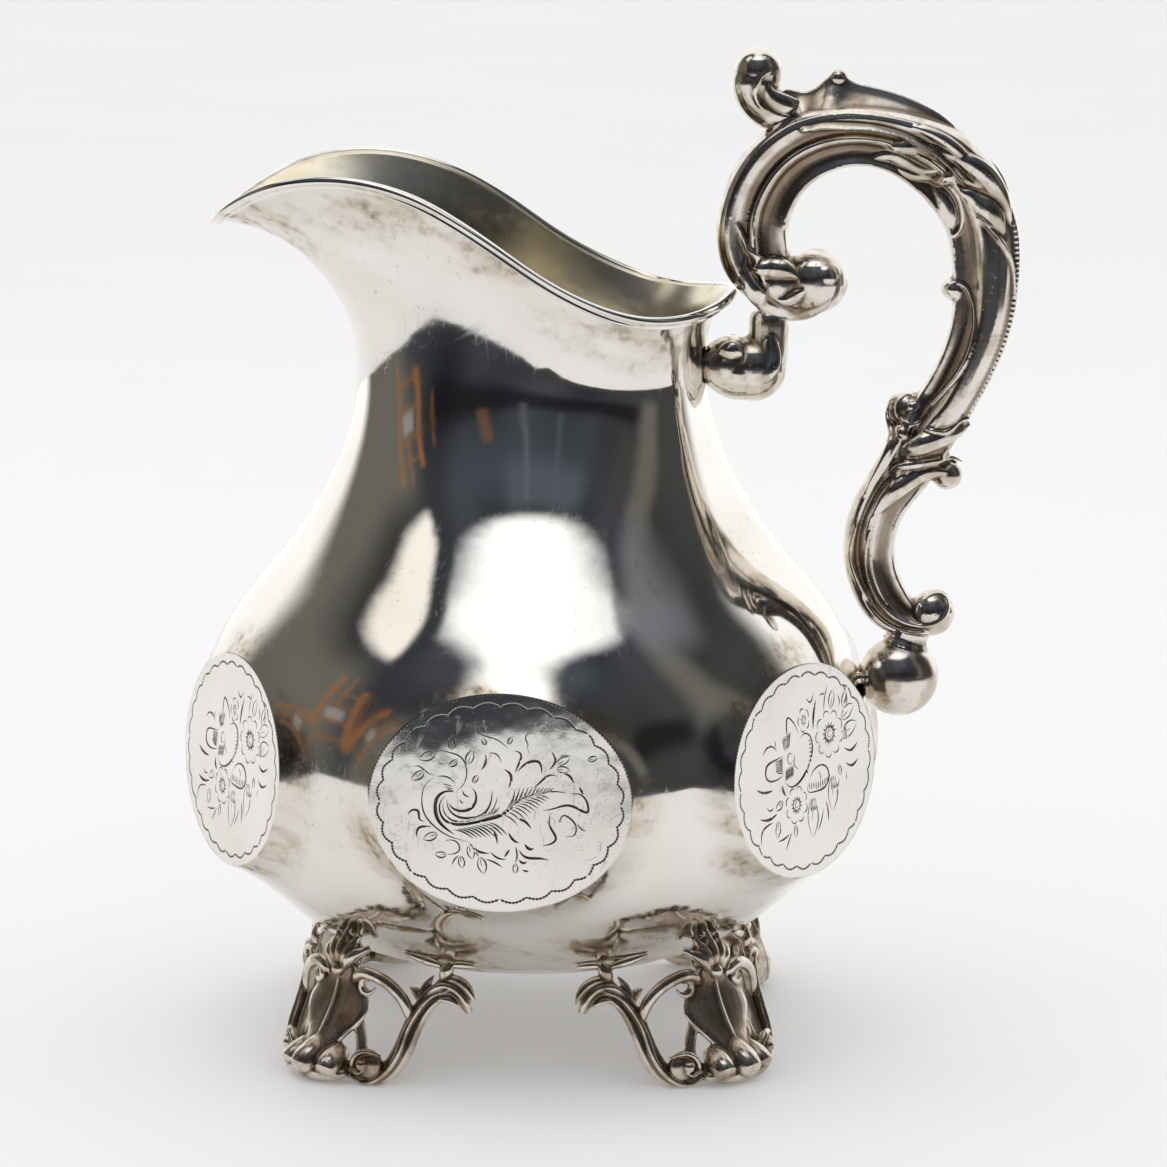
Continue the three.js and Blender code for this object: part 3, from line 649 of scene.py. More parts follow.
POSY_LEAVES = [
    (11.2, 6.2, 25, 4.4), (11.2, 3.4, 20, 5), (7.7, -2, -95, 6.2), (1.3, -4.6, -92, 6.6), (9.8, -.8, -80, 2),
    (-3.8, -8, -95, 2.2), (-8.6, -6.4, 255, 3), (12.2, 7.6, 75, 3.4), (-7, -3.6, 205, 2.6), (8.2, 8.4, 70, 3.4),
]
# Engraved flowers: middle across and up, half width, half height, petals.
POSY_FLOWERS = [(7.5, 4.6, 4, 3.7, 9), (-3.2, -5, 3.1, 2.9, 8), (.2, 8.1, 1.6, 1.9, 5)]
CUT_DEPTH = 0.24  # share of a cut's width
CUT_WIDEN = 1.3  # all cuts are drawn this much wider than listed
CUT_STEP = 0.35  # mm between the points of a cut


def smooth_line(points, step):
    """Points at an even step along a smooth line through the given ones."""
    points = np.asarray(points, float)
    if len(points) == 2:
        points = np.array([points[0], points.mean(0), points[1]])
    length = chords(points)
    return spline(length, points)(np.linspace(0, length[-1], max(4, int(length[-1] / step) + 1)))


def groove(points, width, blunt=0.0):
    """A cut that swells from both ends: its outline, its middle line and its depth."""
    line = smooth_line(points, CUT_STEP)
    along = np.gradient(line, axis=0)
    along /= np.linalg.norm(along, axis=1)[:, None]
    side = np.stack([-along[:, 1], along[:, 0]], -1)
    place = np.linspace(0, 1, len(line))
    swell = np.maximum(np.sin(np.pi * place) ** 0.8, blunt)[:, None] * width / 2
    outline = np.concatenate([line[:1], (line + side * swell)[1:-1], line[-1:], (line - side * swell)[-2:0:-1]])
    return outline, line[1:-1], width * CUT_DEPTH


def arc_line(x, y, direction, length, bow):
    """A bowed line from (x, y), `bow` being how far its middle stands off, as a share of its length."""
    cos, sin = math.cos(math.radians(direction)), math.sin(math.radians(direction))
    return [(x + length * (t * cos - b * sin), y + length * (t * sin + b * cos))
            for t, b in ((0, 0), (0.3, bow * 0.85), (0.6, bow * 0.9), (1, 0))]


def leaf_cuts(x, y, direction, length):
    """The two sides of a leaf and its rib."""
    return [(0.24, arc_line(x, y, direction, length, 0.27)), (0.2, arc_line(x, y, direction, length, -0.2)),
            (0.14, arc_line(x, y, direction, length * 0.6, 0.03))]


def flower_cuts(x, y, wide, tall, petals):
    """The petals of a flower, the rays inside them and the ring in its middle."""
    cuts = []
    for k in range(petals):
        low, high = (2 * math.pi * (k + e) / petals for e in (0.06, 0.94))
        cuts.append((0.22, [(x + wide * s * math.cos(a), y + tall * s * math.sin(a)) for a, s in
                            ((low, 0.8), (0.75 * low + 0.25 * high, 0.97), (0.25 * low + 0.75 * high, 1.0),
                             (high, 0.82))]))
    rays = petals * 3
    for k in range(rays):
        a = 2 * math.pi * k / rays
        reach = 0.42 + 0.12 * (k % 2)
        cuts.append((0.26, [(x + wide * s * math.cos(a), y + tall * s * math.sin(a)) for s in (0.2, reach)]))
    ring = [(x + wide * 0.12 * math.cos(a), y + tall * 0.16 * math.sin(a)) for a in np.linspace(0, 6.2, 9)]
    return cuts + [(0.16, ring)]


def feather_cuts():
    """The fine cuts that fan out on both sides of the shell's plume."""
    cuts = []
    for k in range(11):
        t = k / 10
        root = (0.3 + 5.2 * t, -1.5 + 3.0 * t ** 0.8)
        cuts.append((0.26, arc_line(*root, 62 - 40 * t, 4.4 - 1.2 * t, -0.12)))
        cuts.append((0.2, arc_line(root[0] - 0.2, root[1] - 0.2, -34 + 22 * t, 3.4 - 0.8 * t, 0.12)))
    for k in range(9):
        t = k / 8
        cuts.append((0.24, arc_line(-7.4 + 5.6 * t, -4.3 + 1.3 * t, -22 - 12 * t, 3.6, 0.1)))
        cuts.append((0.2, arc_line(-6.6 + 4.6 * t, -2.9 + 0.9 * t, 8 + 30 * t, 2.6, -0.12)))
    return cuts


def hatch_cuts():
    """Shading inside the petals of the big flower and the bud."""
    cuts = []
    for k in range(9):
        t = k / 8
        cuts.append((0.22, arc_line(-5.6 + 1.2 * t, 4.0 + 0.5 * t, 105 - 30 * t, 2.6, 0.05)))
        cuts.append((0.24, arc_line(-6.3 - 0.1 * t, 3.2 - 2.4 * t, 185 - 20 * t, 2.4, 0.08)))
        cuts.append((0.24, arc_line(-5.7 + 2.0 * t, 1.4 + 0.4 * t, 262 + 6 * t, 2.2, 0.05)))
        cuts.append((0.2, arc_line(0.8 + 1.3 * math.sin(2 * t), -0.2 + 5.0 * t, 200 + 8 * t, 0.9, 0.05)))
        cuts.append((0.24, arc_line(1.0 + 5.0 * t, -3.4 - 0.3 * math.sin(3 * t), 100 - 20 * t, 1.5, 0.05)))
        cuts.append((0.22, arc_line(7.4 + 1.0 * t, -2.2, 262 + 16 * t, 2.4, 0.04)))
        cuts.append((0.22, arc_line(1.2 + 1.0 * t, -4.6, 258 + 18 * t, 2.4, 0.04)))
        cuts.append((0.22, arc_line(11.3, 3.0 + 0.9 * t, 355 + 40 * t, 1.6, 0.04)))
    cuts += [(0.2, [(-4.3 + 0.7 * math.cos(a), 2.7 + 0.9 * math.sin(a)) for a in np.linspace(0, 6, 8)])]
    return cuts


def wavy_border():
    """The rippled line round the oval: scalloped, with the small ticks of a rocked graver."""
    waves, stations, inset, height, parts, depth = 28, 448, 1.6, 0.40, 8, 0.07
    wide, narrow = 0.27, 0.10
    turn = 2 * np.pi * np.arange(stations + 1) / stations
    ripple = height * np.abs(np.sin(turn * waves / 2)) * 1.6 - height
    line = np.stack([(BOSS_WIDE - inset + ripple) * np.cos(turn),
                     (BOSS_TALL - inset + ripple) * np.sin(turn)], -1)
    along = np.gradient(line, axis=0)
    along /= np.linalg.norm(along, axis=1)[:, None]
    side = np.stack([along[:, 1], -along[:, 0]], -1)
    half = np.where(np.arange(stations + 1) % 2 == 0, wide, narrow)[:, None]
    cuts = []
    for k in range(parts):
        piece = slice(k * stations // parts, (k + 1) * stations // parts + 1)
        outer, inner, middle = (line + side * half)[piece], (line - side * half)[piece], line[piece]
        tips = middle[:1], middle[-1:]
        outline = np.concatenate([tips[0], outer[1:-1], tips[1], inner[-2:0:-1]])
        cuts.append((outline, middle[1:-1], depth))
    return cuts


def engraving(design):
    """All the cuts of one boss, placed on the boss: (outline, middle line, depth) in (y, z)."""
    if design == 0:
        drawn = SHELL_CUTS + feather_cuts()
        drawn += [cut for place in SHELL_LEAVES for cut in leaf_cuts(*place)]
    else:
        drawn = POSY_CUTS + hatch_cuts()
        drawn += [cut for place in POSY_LEAVES for cut in leaf_cuts(*place)]
        drawn += [cut for place in POSY_FLOWERS for cut in flower_cuts(*place)]
    cuts = [groove(line, width * CUT_WIDEN) for width, line in drawn] + wavy_border()
    middle = np.array([0, BOSS_HEIGHT])
    return [(outline + middle, line + middle, depth) for outline, line, depth in cuts]


def corners_of(piece):
    """The mesh's points in mm from the jug's axis."""
    return read(piece.data.vertices, "co") / MM - (AXIS_X, 0, 0)


def boss_distance(points):
    """How far each point is outside the nearest oval, in mm, and less than zero inside one."""
    nearest = np.full(len(points), 99.0)
    for turn in boss_turns:
        out = points[:, 0] * math.cos(turn) + points[:, 1] * math.sin(turn)
        y = -points[:, 0] * math.sin(turn) + points[:, 1] * math.cos(turn)
        z = points[:, 2] - BOSS_HEIGHT
        share = np.hypot(y / BOSS_WIDE, z / BOSS_TALL)
        away = (share - 1) * np.hypot(y, z) / np.maximum(share, 1e-6)
        nearest = np.where(out > 30, np.minimum(nearest, away), nearest)
    return nearest


points, faces, cut = body_parts()
body = make_piece("jug_body", points, faces, body_silver, {"cut": cut}, weld=0.01)
corners = corners_of(body)
centres = read(body.data.polygons, "center") / MM - (AXIS_X, 0, 0)
body.data.polygons.foreach_set("use_smooth", boss_distance(centres) > FLAT_INSIDE)
from_rim = rim_height(from_handle(np.arctan2(corners[:, 1], corners[:, 0]))) - corners[:, 2]
beyond = boss_distance(corners)
# Tarnish round the ovals and below the rim; low on the belly the mark is painted shade as well as tarnish.
set_mark(body.data, "tarnish_and_shade", np.maximum.reduce([
    (1 - smoothstep(0, GRIME_OVAL, np.abs(beyond - GRIME_EDGE))) * (beyond > -0.1),
    1.0 - smoothstep(*GRIME_RIM, from_rim), 1.0 - smoothstep(*BASE_TARNISH_AND_SHADE, corners[:, 2])]))
radial = np.hypot(corners[:, 0], corners[:, 1])
normals = read(body.data.vertices, "normal")
facing = (normals[:, 0] * corners[:, 0] + normals[:, 1] * corners[:, 1]) / np.maximum(radial, 1e-6)
# The inside faces the axis, or lies low and faces up.
set_mark(body.data, "inside", (facing < -0.05) | ((corners[:, 2] < 60) & (normals[:, 2] > 0.3) & (radial < 50)))
settle(body, "body_silver", "vessel_body")


# ---- rim wire and base disc ----
# The wire's outline: outwards from the sheet, then along it, upwards.
RIM_OUTLINE = [(-.55, .4), (-.2, .85), (.3, .95), (.75, .8), (.95, .45), (.86, .15), (.78, -.2), (.92, -.5),
               (1.0, -.72), (.8, -.95), (.3, -1.0), (-.25, -.9), (-.55, -.55), (-.62, -.05)]
BASE_OUTLINE = [(0, 16.8), (24.6, 16.8), (25.4, 16.5), (26.2, 16.2), (28.8, 16.15), (29.6, 16.4), (29.85, 16.9),
                (29.8, 17.5), (29.5, 17.95), (28.9, 18.1), (0, 18.1)]
RIM_STEP = 0.12  # mm between the points of the wire's outline
rim_section = smooth_line(RIM_OUTLINE + RIM_OUTLINE[:1], RIM_STEP)[:-1]


def rim_points():
    """The rings of the rim wire: its outline set on the lip at every turn."""
    rings = []
    for turn in turns:
        edge, along, outward = lip(turn)
        section = edge + rim_section[:, :1] * outward + rim_section[:, 1:] * along
        rings.append(around(section[:, 0], section[:, 1], np.full(len(section), turn)))
    return np.array(rings)


rim_rings = rim_points()
rim_grime = 0.25 + 0.75 * np.exp(-((rim_section[:, 1] + .2) / .16) ** 2) * (rim_section[:, 0] > 0)
# On the rim wire the mark is tarnish only: a light film with a dark line along the outer face.
rim = make_piece("rim", rim_rings.reshape(-1, 3),
                 closed_faces(len(rim_rings), rim_rings.shape[1]), body_silver,
                 {"tarnish_and_shade": np.tile(rim_grime, len(rim_rings))})
settle(rim, "body_silver", "rim_wire")
base_rings = np.array([around(np.full(COLUMNS, max(r, 0.01)), np.full(COLUMNS, z), turns)
                       for r, z in BASE_OUTLINE])
# The base disc is marked 0.75 all over: tarnish and painted shade, darker like the bottom of the belly.
base = make_piece("base", base_rings.reshape(-1, 3),
                  grid_faces(len(BASE_OUTLINE), COLUMNS, True)[:, ::-1].tolist(), body_silver,
                  {"tarnish_and_shade": np.full(base_rings.size // 3, 0.75)}, weld=0.02)
settle(base, "body_silver", "base_disc")


# ---- cast parts: sculpted from many overlapping strands, then fused ----
SCULPT_VOXEL = 0.2  # mm, how finely the fused skin follows the strands
HOLLOW_ROUNDS, HOLLOW_DEPTH = 30, 0.16  # reach of the search for hollows, and the depth in mm counted as 1
ACROSS, ASIDE = np.array([0.0, 1.0, 0.0]), np.array([1.0, 0.0, 0.0])


def ring_skin(rings):
    """Points and faces of a closed skin over rings of points, each end closed by a flat cap."""
    rings = np.asarray(rings, float)
    count, around_ring = rings.shape[:2]
    points = np.concatenate([rings.reshape(-1, 3), rings[:1].mean(1), rings[-1:].mean(1)])
    faces = grid_faces(count, around_ring, True).tolist()
    first, last = count * around_ring, (count - 1) * around_ring
    for j in range(around_ring):
        k = (j + 1) % around_ring
        faces.append([k, j, first])
        faces.append([last + j, last + k, first + 1])
    return points, faces


def frames(line, across):
    """For each point of a line: the direction out of it in the plane square to `across`, and the other one."""
    along = np.gradient(line, axis=0)
    out = np.cross(along, across)
    out /= np.linalg.norm(out, axis=1)[:, None]
    cross = np.cross(out, along)
    return out, cross / np.linalg.norm(cross, axis=1)[:, None]


def sweep(stations, across, section, steps):
    """A skin along stations (x, y, z, half thickness out, half thickness across). `section(place)` gives
    the outline at a place from 0 to 1 as pairs in shares of those half thicknesses."""
    stations = np.asarray(stations, float)
    length = chords(stations[:, :3])
    rows = spline(length, stations)(np.linspace(0, length[-1], steps))
    out, cross = frames(rows[:, :3], across)
    rings = []
    for i, row in enumerate(rows):
        outline = section(i / (steps - 1))
        rings.append(row[:3] + outline[:, :1] * out[i] * row[3] + outline[:, 1:] * cross[i] * row[4])
    return ring_skin(rings)


def circle_of(sides):
    turn = 2 * np.pi * np.arange(sides) / sides
    return np.stack([np.cos(turn), np.sin(turn)], -1)


def strand(points, wide, high, across=ACROSS, blunt=0.0, steps=26, sides=12):
    """A rounded strand that swells from both ends, `blunt` being the share of its width left at them."""
    circle = circle_of(sides)
    points = np.asarray(points, float)
    stations = np.column_stack([points, np.full(len(points), wide), np.full(len(points), high)])
    return sweep(stations, across,
                 lambda t: circle * max(blunt, math.sin(math.pi * min(max(t, .02), .98)) ** 0.7), steps)


def tube(stations, across=ACROSS, steps=40, sides=20):
    """A round tube with its own radius at every station, its ends drawn in like half balls."""
    circle = circle_of(sides)
    stations = np.asarray([s if len(s) == 5 else (*s, s[-1]) for s in stations], float)
    return sweep(stations, across,
                 lambda t: circle * max(0.1, min(1.0, (1 - abs(2 * t - 1) ** 14))), steps)


def globe(centre, radius, squash=(1, 1, 1), rows=20, sides=28):
    """A ball, or with `squash` an egg, with its poles up and down."""
    rise = np.linspace(-0.497 * np.pi, 0.497 * np.pi, rows)
    turn = 2 * np.pi * np.arange(sides) / sides
    rings = [[(math.cos(r) * math.cos(t), math.cos(r) * math.sin(t), math.sin(r)) for t in turn] for r in rise]
    return ring_skin(np.array(rings) * radius * np.array(squash) + centre)


def joined(parts):
    """The points and the faces of all the parts."""
    points, faces, count = [], [], 0
    for part_points, part_faces in parts:
        points.append(part_points)
        faces.extend([[v + count for v in f] for f in part_faces])
        count += len(part_points)
    return np.concatenate(points), faces


def fused(name, parts, material, voxel=SCULPT_VOXEL, rounds=3):
    """One skin round all the parts, smoothed a little."""
    piece = make_piece(name, *joined(parts), material)
    work = bmesh.new()
    work.from_mesh(piece.data)
    bmesh.ops.recalc_face_normals(work, faces=work.faces)
    work.to_mesh(piece.data)
    work.free()
    remesh = piece.modifiers.new("fuse", "REMESH")
    remesh.mode, remesh.voxel_size, remesh.use_smooth_shade = "VOXEL", voxel * MM, True
    soften = piece.modifiers.new("soften", "SMOOTH")
    soften.factor, soften.iterations = 0.5, rounds
    bake_modifiers(piece)
    piece.data.materials.clear()
    piece.data.materials.append(material)
    piece.data.shade_smooth()
    mark_hollows(piece.data)
    return piece


def mark_hollows(mesh):
    """Stores at each point how deep it lies below its surroundings: about 1 in a groove, -1 on an edge."""
    count = len(mesh.vertices)
    start, normal = read(mesh.vertices, "co").astype(float), read(mesh.vertices, "normal")
    edges = np.empty(len(mesh.edges) * 2, np.int32)
    mesh.edges.foreach_get("vertices", edges)
    a, b = edges.reshape(-1, 2).T
    degree = np.maximum(np.bincount(a, minlength=count) + np.bincount(b, minlength=count), 1)
    smooth = start.copy()
    for _ in range(HOLLOW_ROUNDS):
        smooth = np.stack([np.bincount(a, smooth[b, i], count) + np.bincount(b, smooth[a, i], count)
                           for i in range(3)], -1) / degree[:, None]
    depth = np.einsum("ij,ij->i", smooth - start, normal) / (HOLLOW_DEPTH * MM)
    set_mark(mesh, "hollow", depth)


def mirrored(parts):
    """The parts and their reflections in the plane through spout and handle."""
    return parts + [(points * (1, -1, 1), [f[::-1] for f in faces]) for points, faces in parts]


# ---- handle ----
# Handle centre line: x, z, half thickness in the plane of the handle, half thickness across it.
HANDLE_BAND = [
    (38.6, 123.6, 3.6, 3.8), (36.5, 128.6, 5.6, 4.6), (35.8, 134.4, 5.9, 5.0), (37.6, 140.4, 5.9, 5.1),
    (41.0, 144.9, 5.8, 5.1), (46.2, 148.0, 5.6, 5.1), (53.6, 149.0, 5.1, 5.0), (60.0, 147.7, 5.4, 5.2),
    (66.2, 144.3, 6.1, 5.0), (70.5, 139.4, 6.0, 4.7), (72.8, 134.0, 5.8, 4.5), (73.5, 127.4, 5.5, 4.7),
    (73.0, 119.7, 5.0, 5.1), (71.0, 113.0, 4.7, 5.4), (67.8, 106.6, 4.6, 5.4), (63.9, 100.4, 4.9, 4.9),
    (60.4, 94.4, 4.7, 4.3), (57.2, 89.4, 4.3, 3.9), (55.3, 83.8, 4.2, 3.7), (55.2, 79.6, 4.2, 3.5),
    (56.2, 75.8, 4.1, 3.4), (58.4, 72.0, 3.9, 3.3), (61.6, 69.8, 2.9, 3.1), (65.0, 69.2, 1.9, 2.6),
]
# The band's section: place from the inner edge to the outer, then how far the face stands out there.
SECTION_PLACE = [-1, -.97, -.9, -.78, -.6, -.42, -.27, -.17, -.08, .02,
                 .12, .25, .42, .6, .76, .86, .93, .98, 1]
HOOK_SECTION = [0, .34, .56, .52, .44, .44, .54, .80, .94, .90, .74, .80, .95, 1.0, .93, .78, .58, .33, 0]
BACK_SECTION = [0, .30, .48, .46, .44, .52, .70, .86, .94, .99, 1.0, 1.0, .99, .82, .46, .36, .36, .28, 0]
TAIL_SECTION = [0, .38, .64, .84, .92, .72, .86, .98, 1.0, .92, .98, .80, .62, .54, .52, .56, .54, .36, 0]
SECTION_SAMPLES = 64
BAND_STEPS = 800
HOOK_END, TAIL_START = 0.44, 0.70  # where along the band the section changes
HOOK_BLEND, TAIL_BLEND = 0.06, 0.03  # how far to either side the change reaches
EDGE_SLOPE = 2.2  # holds the face down beside the edges
MILLED, TICK = 186, 0.04  # ticks along the outer edge, and their height
# Raised strands on the handle: half width, height, blunt ends, points (x, z).
HANDLE_STRANDS = [
    (1.5, .9, 0, [(54.6, 145.2), (57.2, 146.0), (59.4, 145.9), (61.9, 144.4), (65.9, 143.7)]),
    (1.5, 1.1, 0, [(56.6, 147.3), (60.7, 147.6), (63.9, 147.3), (67.9, 146.3), (70.7, 144.7)]),
    (1.2, 1.1, 0, [(63.4, 143.4), (65.8, 142.2), (68.1, 143.0), (70.4, 142.3), (73.4, 141.0)]),
    (.9, .8, 0, [(58.3, 144.6), (61.8, 142.9), (64.6, 142.5), (66.6, 141.4)]),
    (.45, .7, .2, [(64.8, 142.4), (66.8, 141.5), (68.4, 140.2), (69.5, 137.5), (69.4, 134.6), (68.3, 133.2),
                   (67.1, 133.6)]),
    (1.5, .7, .1, [(64.6, 141.9), (66.4, 139.1), (67.7, 136.0), (68.1, 134.2)]),
    (1.9, 1.2, 0, [(66.4, 146.8), (69.9, 145.5), (73.1, 143.1), (75.6, 139.2), (77.3, 135.0)]),
    (1.9, 1.2, 0, [(69.0, 140.7), (72.0, 139.0), (74.4, 136.9), (76.2, 133.6)]),
    (1.0, .8, 0, [(61.0, 151.0), (65.0, 149.6), (69.2, 146.7), (72.2, 143.6)]),
    (.4, .6, .3, [(70.2, 137.2), (71.6, 136.4), (74.0, 134.7), (76.9, 130.7), (78.1, 126.3), (78.3, 122.0)]),
    (.42, .6, .4, [(69.4, 124.2), (68.8, 123.2), (67.6, 123.9), (67.8, 125.2), (69.2, 125.4), (71.2, 123.2),
                   (71.8, 118.1), (70.2, 112.6), (67.0, 107.9), (64.2, 104.4), (62.6, 102.6), (60.5, 103.0),
                   (59.4, 105.2), (60.6, 107.0), (62.6, 106.6), (62.9, 105.0), (61.9, 104.4)]),
    (1.9, 1.5, .2, [(35.6, 127.6), (38.2, 127.6), (41.0, 127.4), (43.4, 126.4)]),
    (1.9, 1.1, .1, [(34.6, 129.4), (35.0, 126.0), (37.4, 122.7), (41.0, 120.7), (45.3, 120.7), (48.7, 122.4)]),
    (1.1, .9, .1, [(44.6, 124.6), (43.0, 123.3), (41.4, 122.6), (39.6, 122.8)]),
    (.6, .7, 0, [(33.6, 135.2), (34.6, 132.2), (36.0, 130.2), (38.6, 128.9)]),
    (.75, .8, .3, [(58.4, 106.2), (57.9, 103.6), (58.6, 100.8), (57.8, 97.6), (56.0, 94.0), (54.2, 90.6)]),
    (1.0, .8, 0, [(59.6, 102.4), (60.6, 100.9), (61.7, 99.9)]),
    (1.9, 1.5, 0, [(59.0, 96.9), (62.3, 98.9), (65.7, 100.3), (68.5, 101.2), (71.3, 102.2)]),
    (.9, 1.0, 0, [(56.9, 93.4), (60.6, 95.8), (64.9, 96.3), (68.4, 96.6), (70.3, 95.9)]),
    (.5, .9, .2, [(63.4, 102.3), (66.0, 101.6), (67.7, 101.6), (69.6, 103.0), (71.5, 103.3)]),
    (1.7, 1.4, 0, [(55.6, 86.8), (58.2, 90.6), (61.3, 93.2), (64.8, 94.6), (68.4, 94.4)]),
    (.4, .6, .3, [(57.4, 88.6), (56.0, 86.4), (54.9, 83.1), (54.7, 79.4), (56.0, 74.8), (58.8, 71.2),
                  (63.0, 69.3),
                  (66.1, 69.6), (68.0, 71.6), (67.6, 73.8), (65.4, 74.2), (64.0, 72.8), (64.8, 71.2),
                  (66.2, 71.6)]),
    (.5, .5, .2, [(53.4, 88.4), (52.9, 85.1), (52.2, 81.6), (52.9, 77.8), (54.8, 73.8), (57.0, 70.8)]),
]
# Balls in the curls of the handle: x, z, radius, squash across.
HANDLE_BALLS = [
    (46.0, 125.3, 5.3, 1.0), (40.6, 124.9, 4.5, .96), (43.2, 124.9, 4.4, 1.0), (60.7, 104.4, 3.1, .95),
    (61.9, 105.2, 1.7, 1.9), (67.6, 93.8, 2.5, 1.0), (65.4, 70.9, 3.8, .9), (66.2, 72.1, 1.6, 1.9),
    (68.2, 124.3, 1.9, 1.5), (47.4, 126.3, 3.4, 1.5),
]
# The fin along the crest: its edge (x, z) and its foot on the band.
FIN_EDGE = [(39.6, 155.2), (41.3, 156.3), (43.8, 156.0), (45.8, 156.6), (47.4, 158.0), (49.4, 158.9),
            (51.1, 158.0),
            (53.5, 157.2), (57.7, 156.2), (61.7, 154.7), (65.9, 152.5), (69.2, 149.6), (72.0, 146.4)]
FIN_FOOT = [(41.8, 149.4), (43.2, 149.8), (44.8, 150.0), (46.4, 150.2), (48.4, 150.3), (50.4, 150.3),
            (52.4, 150.3),
            (54.8, 150.2), (58.2, 149.6), (61.6, 148.4), (65.0, 146.4), (67.6, 144.2), (69.6, 142.0)]
# Up the fin: share of its height, half thickness. It starts at FIN_START of it and is full after FIN_GROWTH mm.
FIN_PROFILE = [(0, 6.0), (.2, 4.7), (.4, 3.5), (.6, 2.4), (.8, 1.45), (.92, 1.0), (.97, .95), (1.0, .6)]
FIN_START, FIN_GROWTH = 0.45, 3.5
FIN_BEAD = (49.4, 0, 158.1)
RAY_START = -40  # where a search for the front of a form sets out from
LAID_ROUNDS = 4  # rounds of smoothing of a line laid on a form


def band_section(place):
    """The band's outline at this place, both sides, with the milled ticks near its outer edge."""
    to_back = smoothstep(HOOK_END - HOOK_BLEND, HOOK_END + HOOK_BLEND, place)
    to_tail = smoothstep(TAIL_START - TAIL_BLEND, TAIL_START + TAIL_BLEND, place)
    heights = [np.array(s) for s in (HOOK_SECTION, BACK_SECTION, TAIL_SECTION)]
    height = heights[0] * (1 - to_back) + heights[1] * to_back * (1 - to_tail) + heights[2] * to_tail
    at = np.sin(np.linspace(-np.pi / 2, np.pi / 2, SECTION_SAMPLES))
    face = np.maximum(np.interp(at, SECTION_PLACE, height), 0.0)
    edge = np.sqrt(np.maximum(1 - at ** 2, 0))
    face = np.minimum(face, edge * EDGE_SLOPE)
    milled = to_back * (1 - to_tail) * smoothstep(.84, .88, at) * smoothstep(-1.0, -.95, -at)
    face = face + milled * TICK * math.sin(2 * math.pi * MILLED * place)
    return np.concatenate([np.stack([at, -face], -1), np.stack([at, face], -1)[-2:0:-1]])


band = sweep([(x, 0, z, thick, wide) for x, z, thick, wide in HANDLE_BAND], ACROSS, band_section, BAND_STEPS)
balls = [globe((x, 0, z), radius, (1, squash, 1)) for x, z, radius, squash in HANDLE_BALLS]


def search_tree(parts):
    points, faces = joined(parts)
    return BVHTree.FromPolygons([Vector(p) for p in points], faces)


def laid_on(tree, line, sink=0.0):
    """The smooth line (x, z) laid on the front of a form."""
    line = smooth_line(line, 0.5)
    depth = []
    for x, z in line:
        hit = tree.ray_cast(Vector((x, RAY_START, z)), Vector((0, 1, 0)))[0]
        depth.append(hit.y if hit else np.nan)
    depth = np.array(depth)
    known = ~np.isnan(depth)
    depth = np.interp(np.arange(len(depth)), np.flatnonzero(known), depth[known]) if known.any() else depth * 0
    smooth = depth.copy()
    for _ in range(LAID_ROUNDS):
        smooth[1:-1] = (smooth[:-2] + 2 * smooth[1:-1] + smooth[2:]) / 4
    return np.column_stack([line[:, 0], smooth + sink, line[:, 1]])


def laid_strands(parts, table):
    """The strands of a table laid on both sides of a form."""
    tree = search_tree(parts)
    return mirrored([strand(laid_on(tree, line, 0.2), wide, high, blunt=blunt, steps=40)
                     for wide, high, blunt, line in table])


handle_tree = search_tree([band] + balls)
strands = [strand(laid_on(handle_tree, line, high * 0.1), wide, high, blunt=blunt,
                  steps=max(24, len(line) * 12)) for wide, high, blunt, line in HANDLE_STRANDS]
fin_edge, fin_foot = smooth_line(FIN_EDGE, 0.4), np.array(FIN_FOOT)
fin_foot = spline(np.linspace(0, 1, len(fin_foot)), fin_foot)(np.linspace(0, 1, len(fin_edge)))
fin_rings = []
for (top_x, top_z), (low_x, low_z) in zip(fin_edge, fin_foot):
    spread = min(1.0, FIN_START + (low_x - FIN_FOOT[0][0]) / FIN_GROWTH)
    near = [(low_x + (top_x - low_x) * s, -half * spread, low_z + (top_z - low_z) * s)
            for s, half in FIN_PROFILE]
    far = [(x, -y, z) for x, y, z in near[::-1]]
    fin_rings.append(near + far)
fin = ring_skin(fin_rings)
fin_bead = globe(FIN_BEAD, 1.5, (1, 1.1, 1))
handle = fused("handle", mirrored(strands) + [band, fin, fin_bead] + balls, cast_silver)
settle(handle, "handle_silver", "handle_half_front", "handle_half_back")

# ---- thumb bud, neck scroll and ball ----
# Paths are x, z and radius; strands are as on the handle.
BUD_PATH = [(36.7, 159.4, 3.7), (36.2, 157.6, 4.0), (36.3, 155.6, 3.7), (37.6, 153.6, 3.4), (40.2, 152.2, 3.0),
            (43.8, 151.8, 2.0)]
BUD_STRANDS = [
    (1.8, 1.1, .1, [(37.9, 157.6), (38.3, 155.8), (39.8, 154.4), (42.2, 153.4), (45.4, 152.7)]),
    (.5, .6, .1, [(39.9, 159.8), (38.0, 159.2), (36.7, 157.8), (36.2, 156.0), (36.9, 154.0), (38.8, 152.2)]),
]
bud_parts = [tube([(x, 0, z, r) for x, z, r in BUD_PATH]), globe((36.6, 0, 159.1), 3.85)]
bud_parts += laid_strands(bud_parts, BUD_STRANDS)
bud = fused("thumb_bud_cast", bud_parts, cast_silver)
settle(bud, "handle_silver", "thumb_bud")

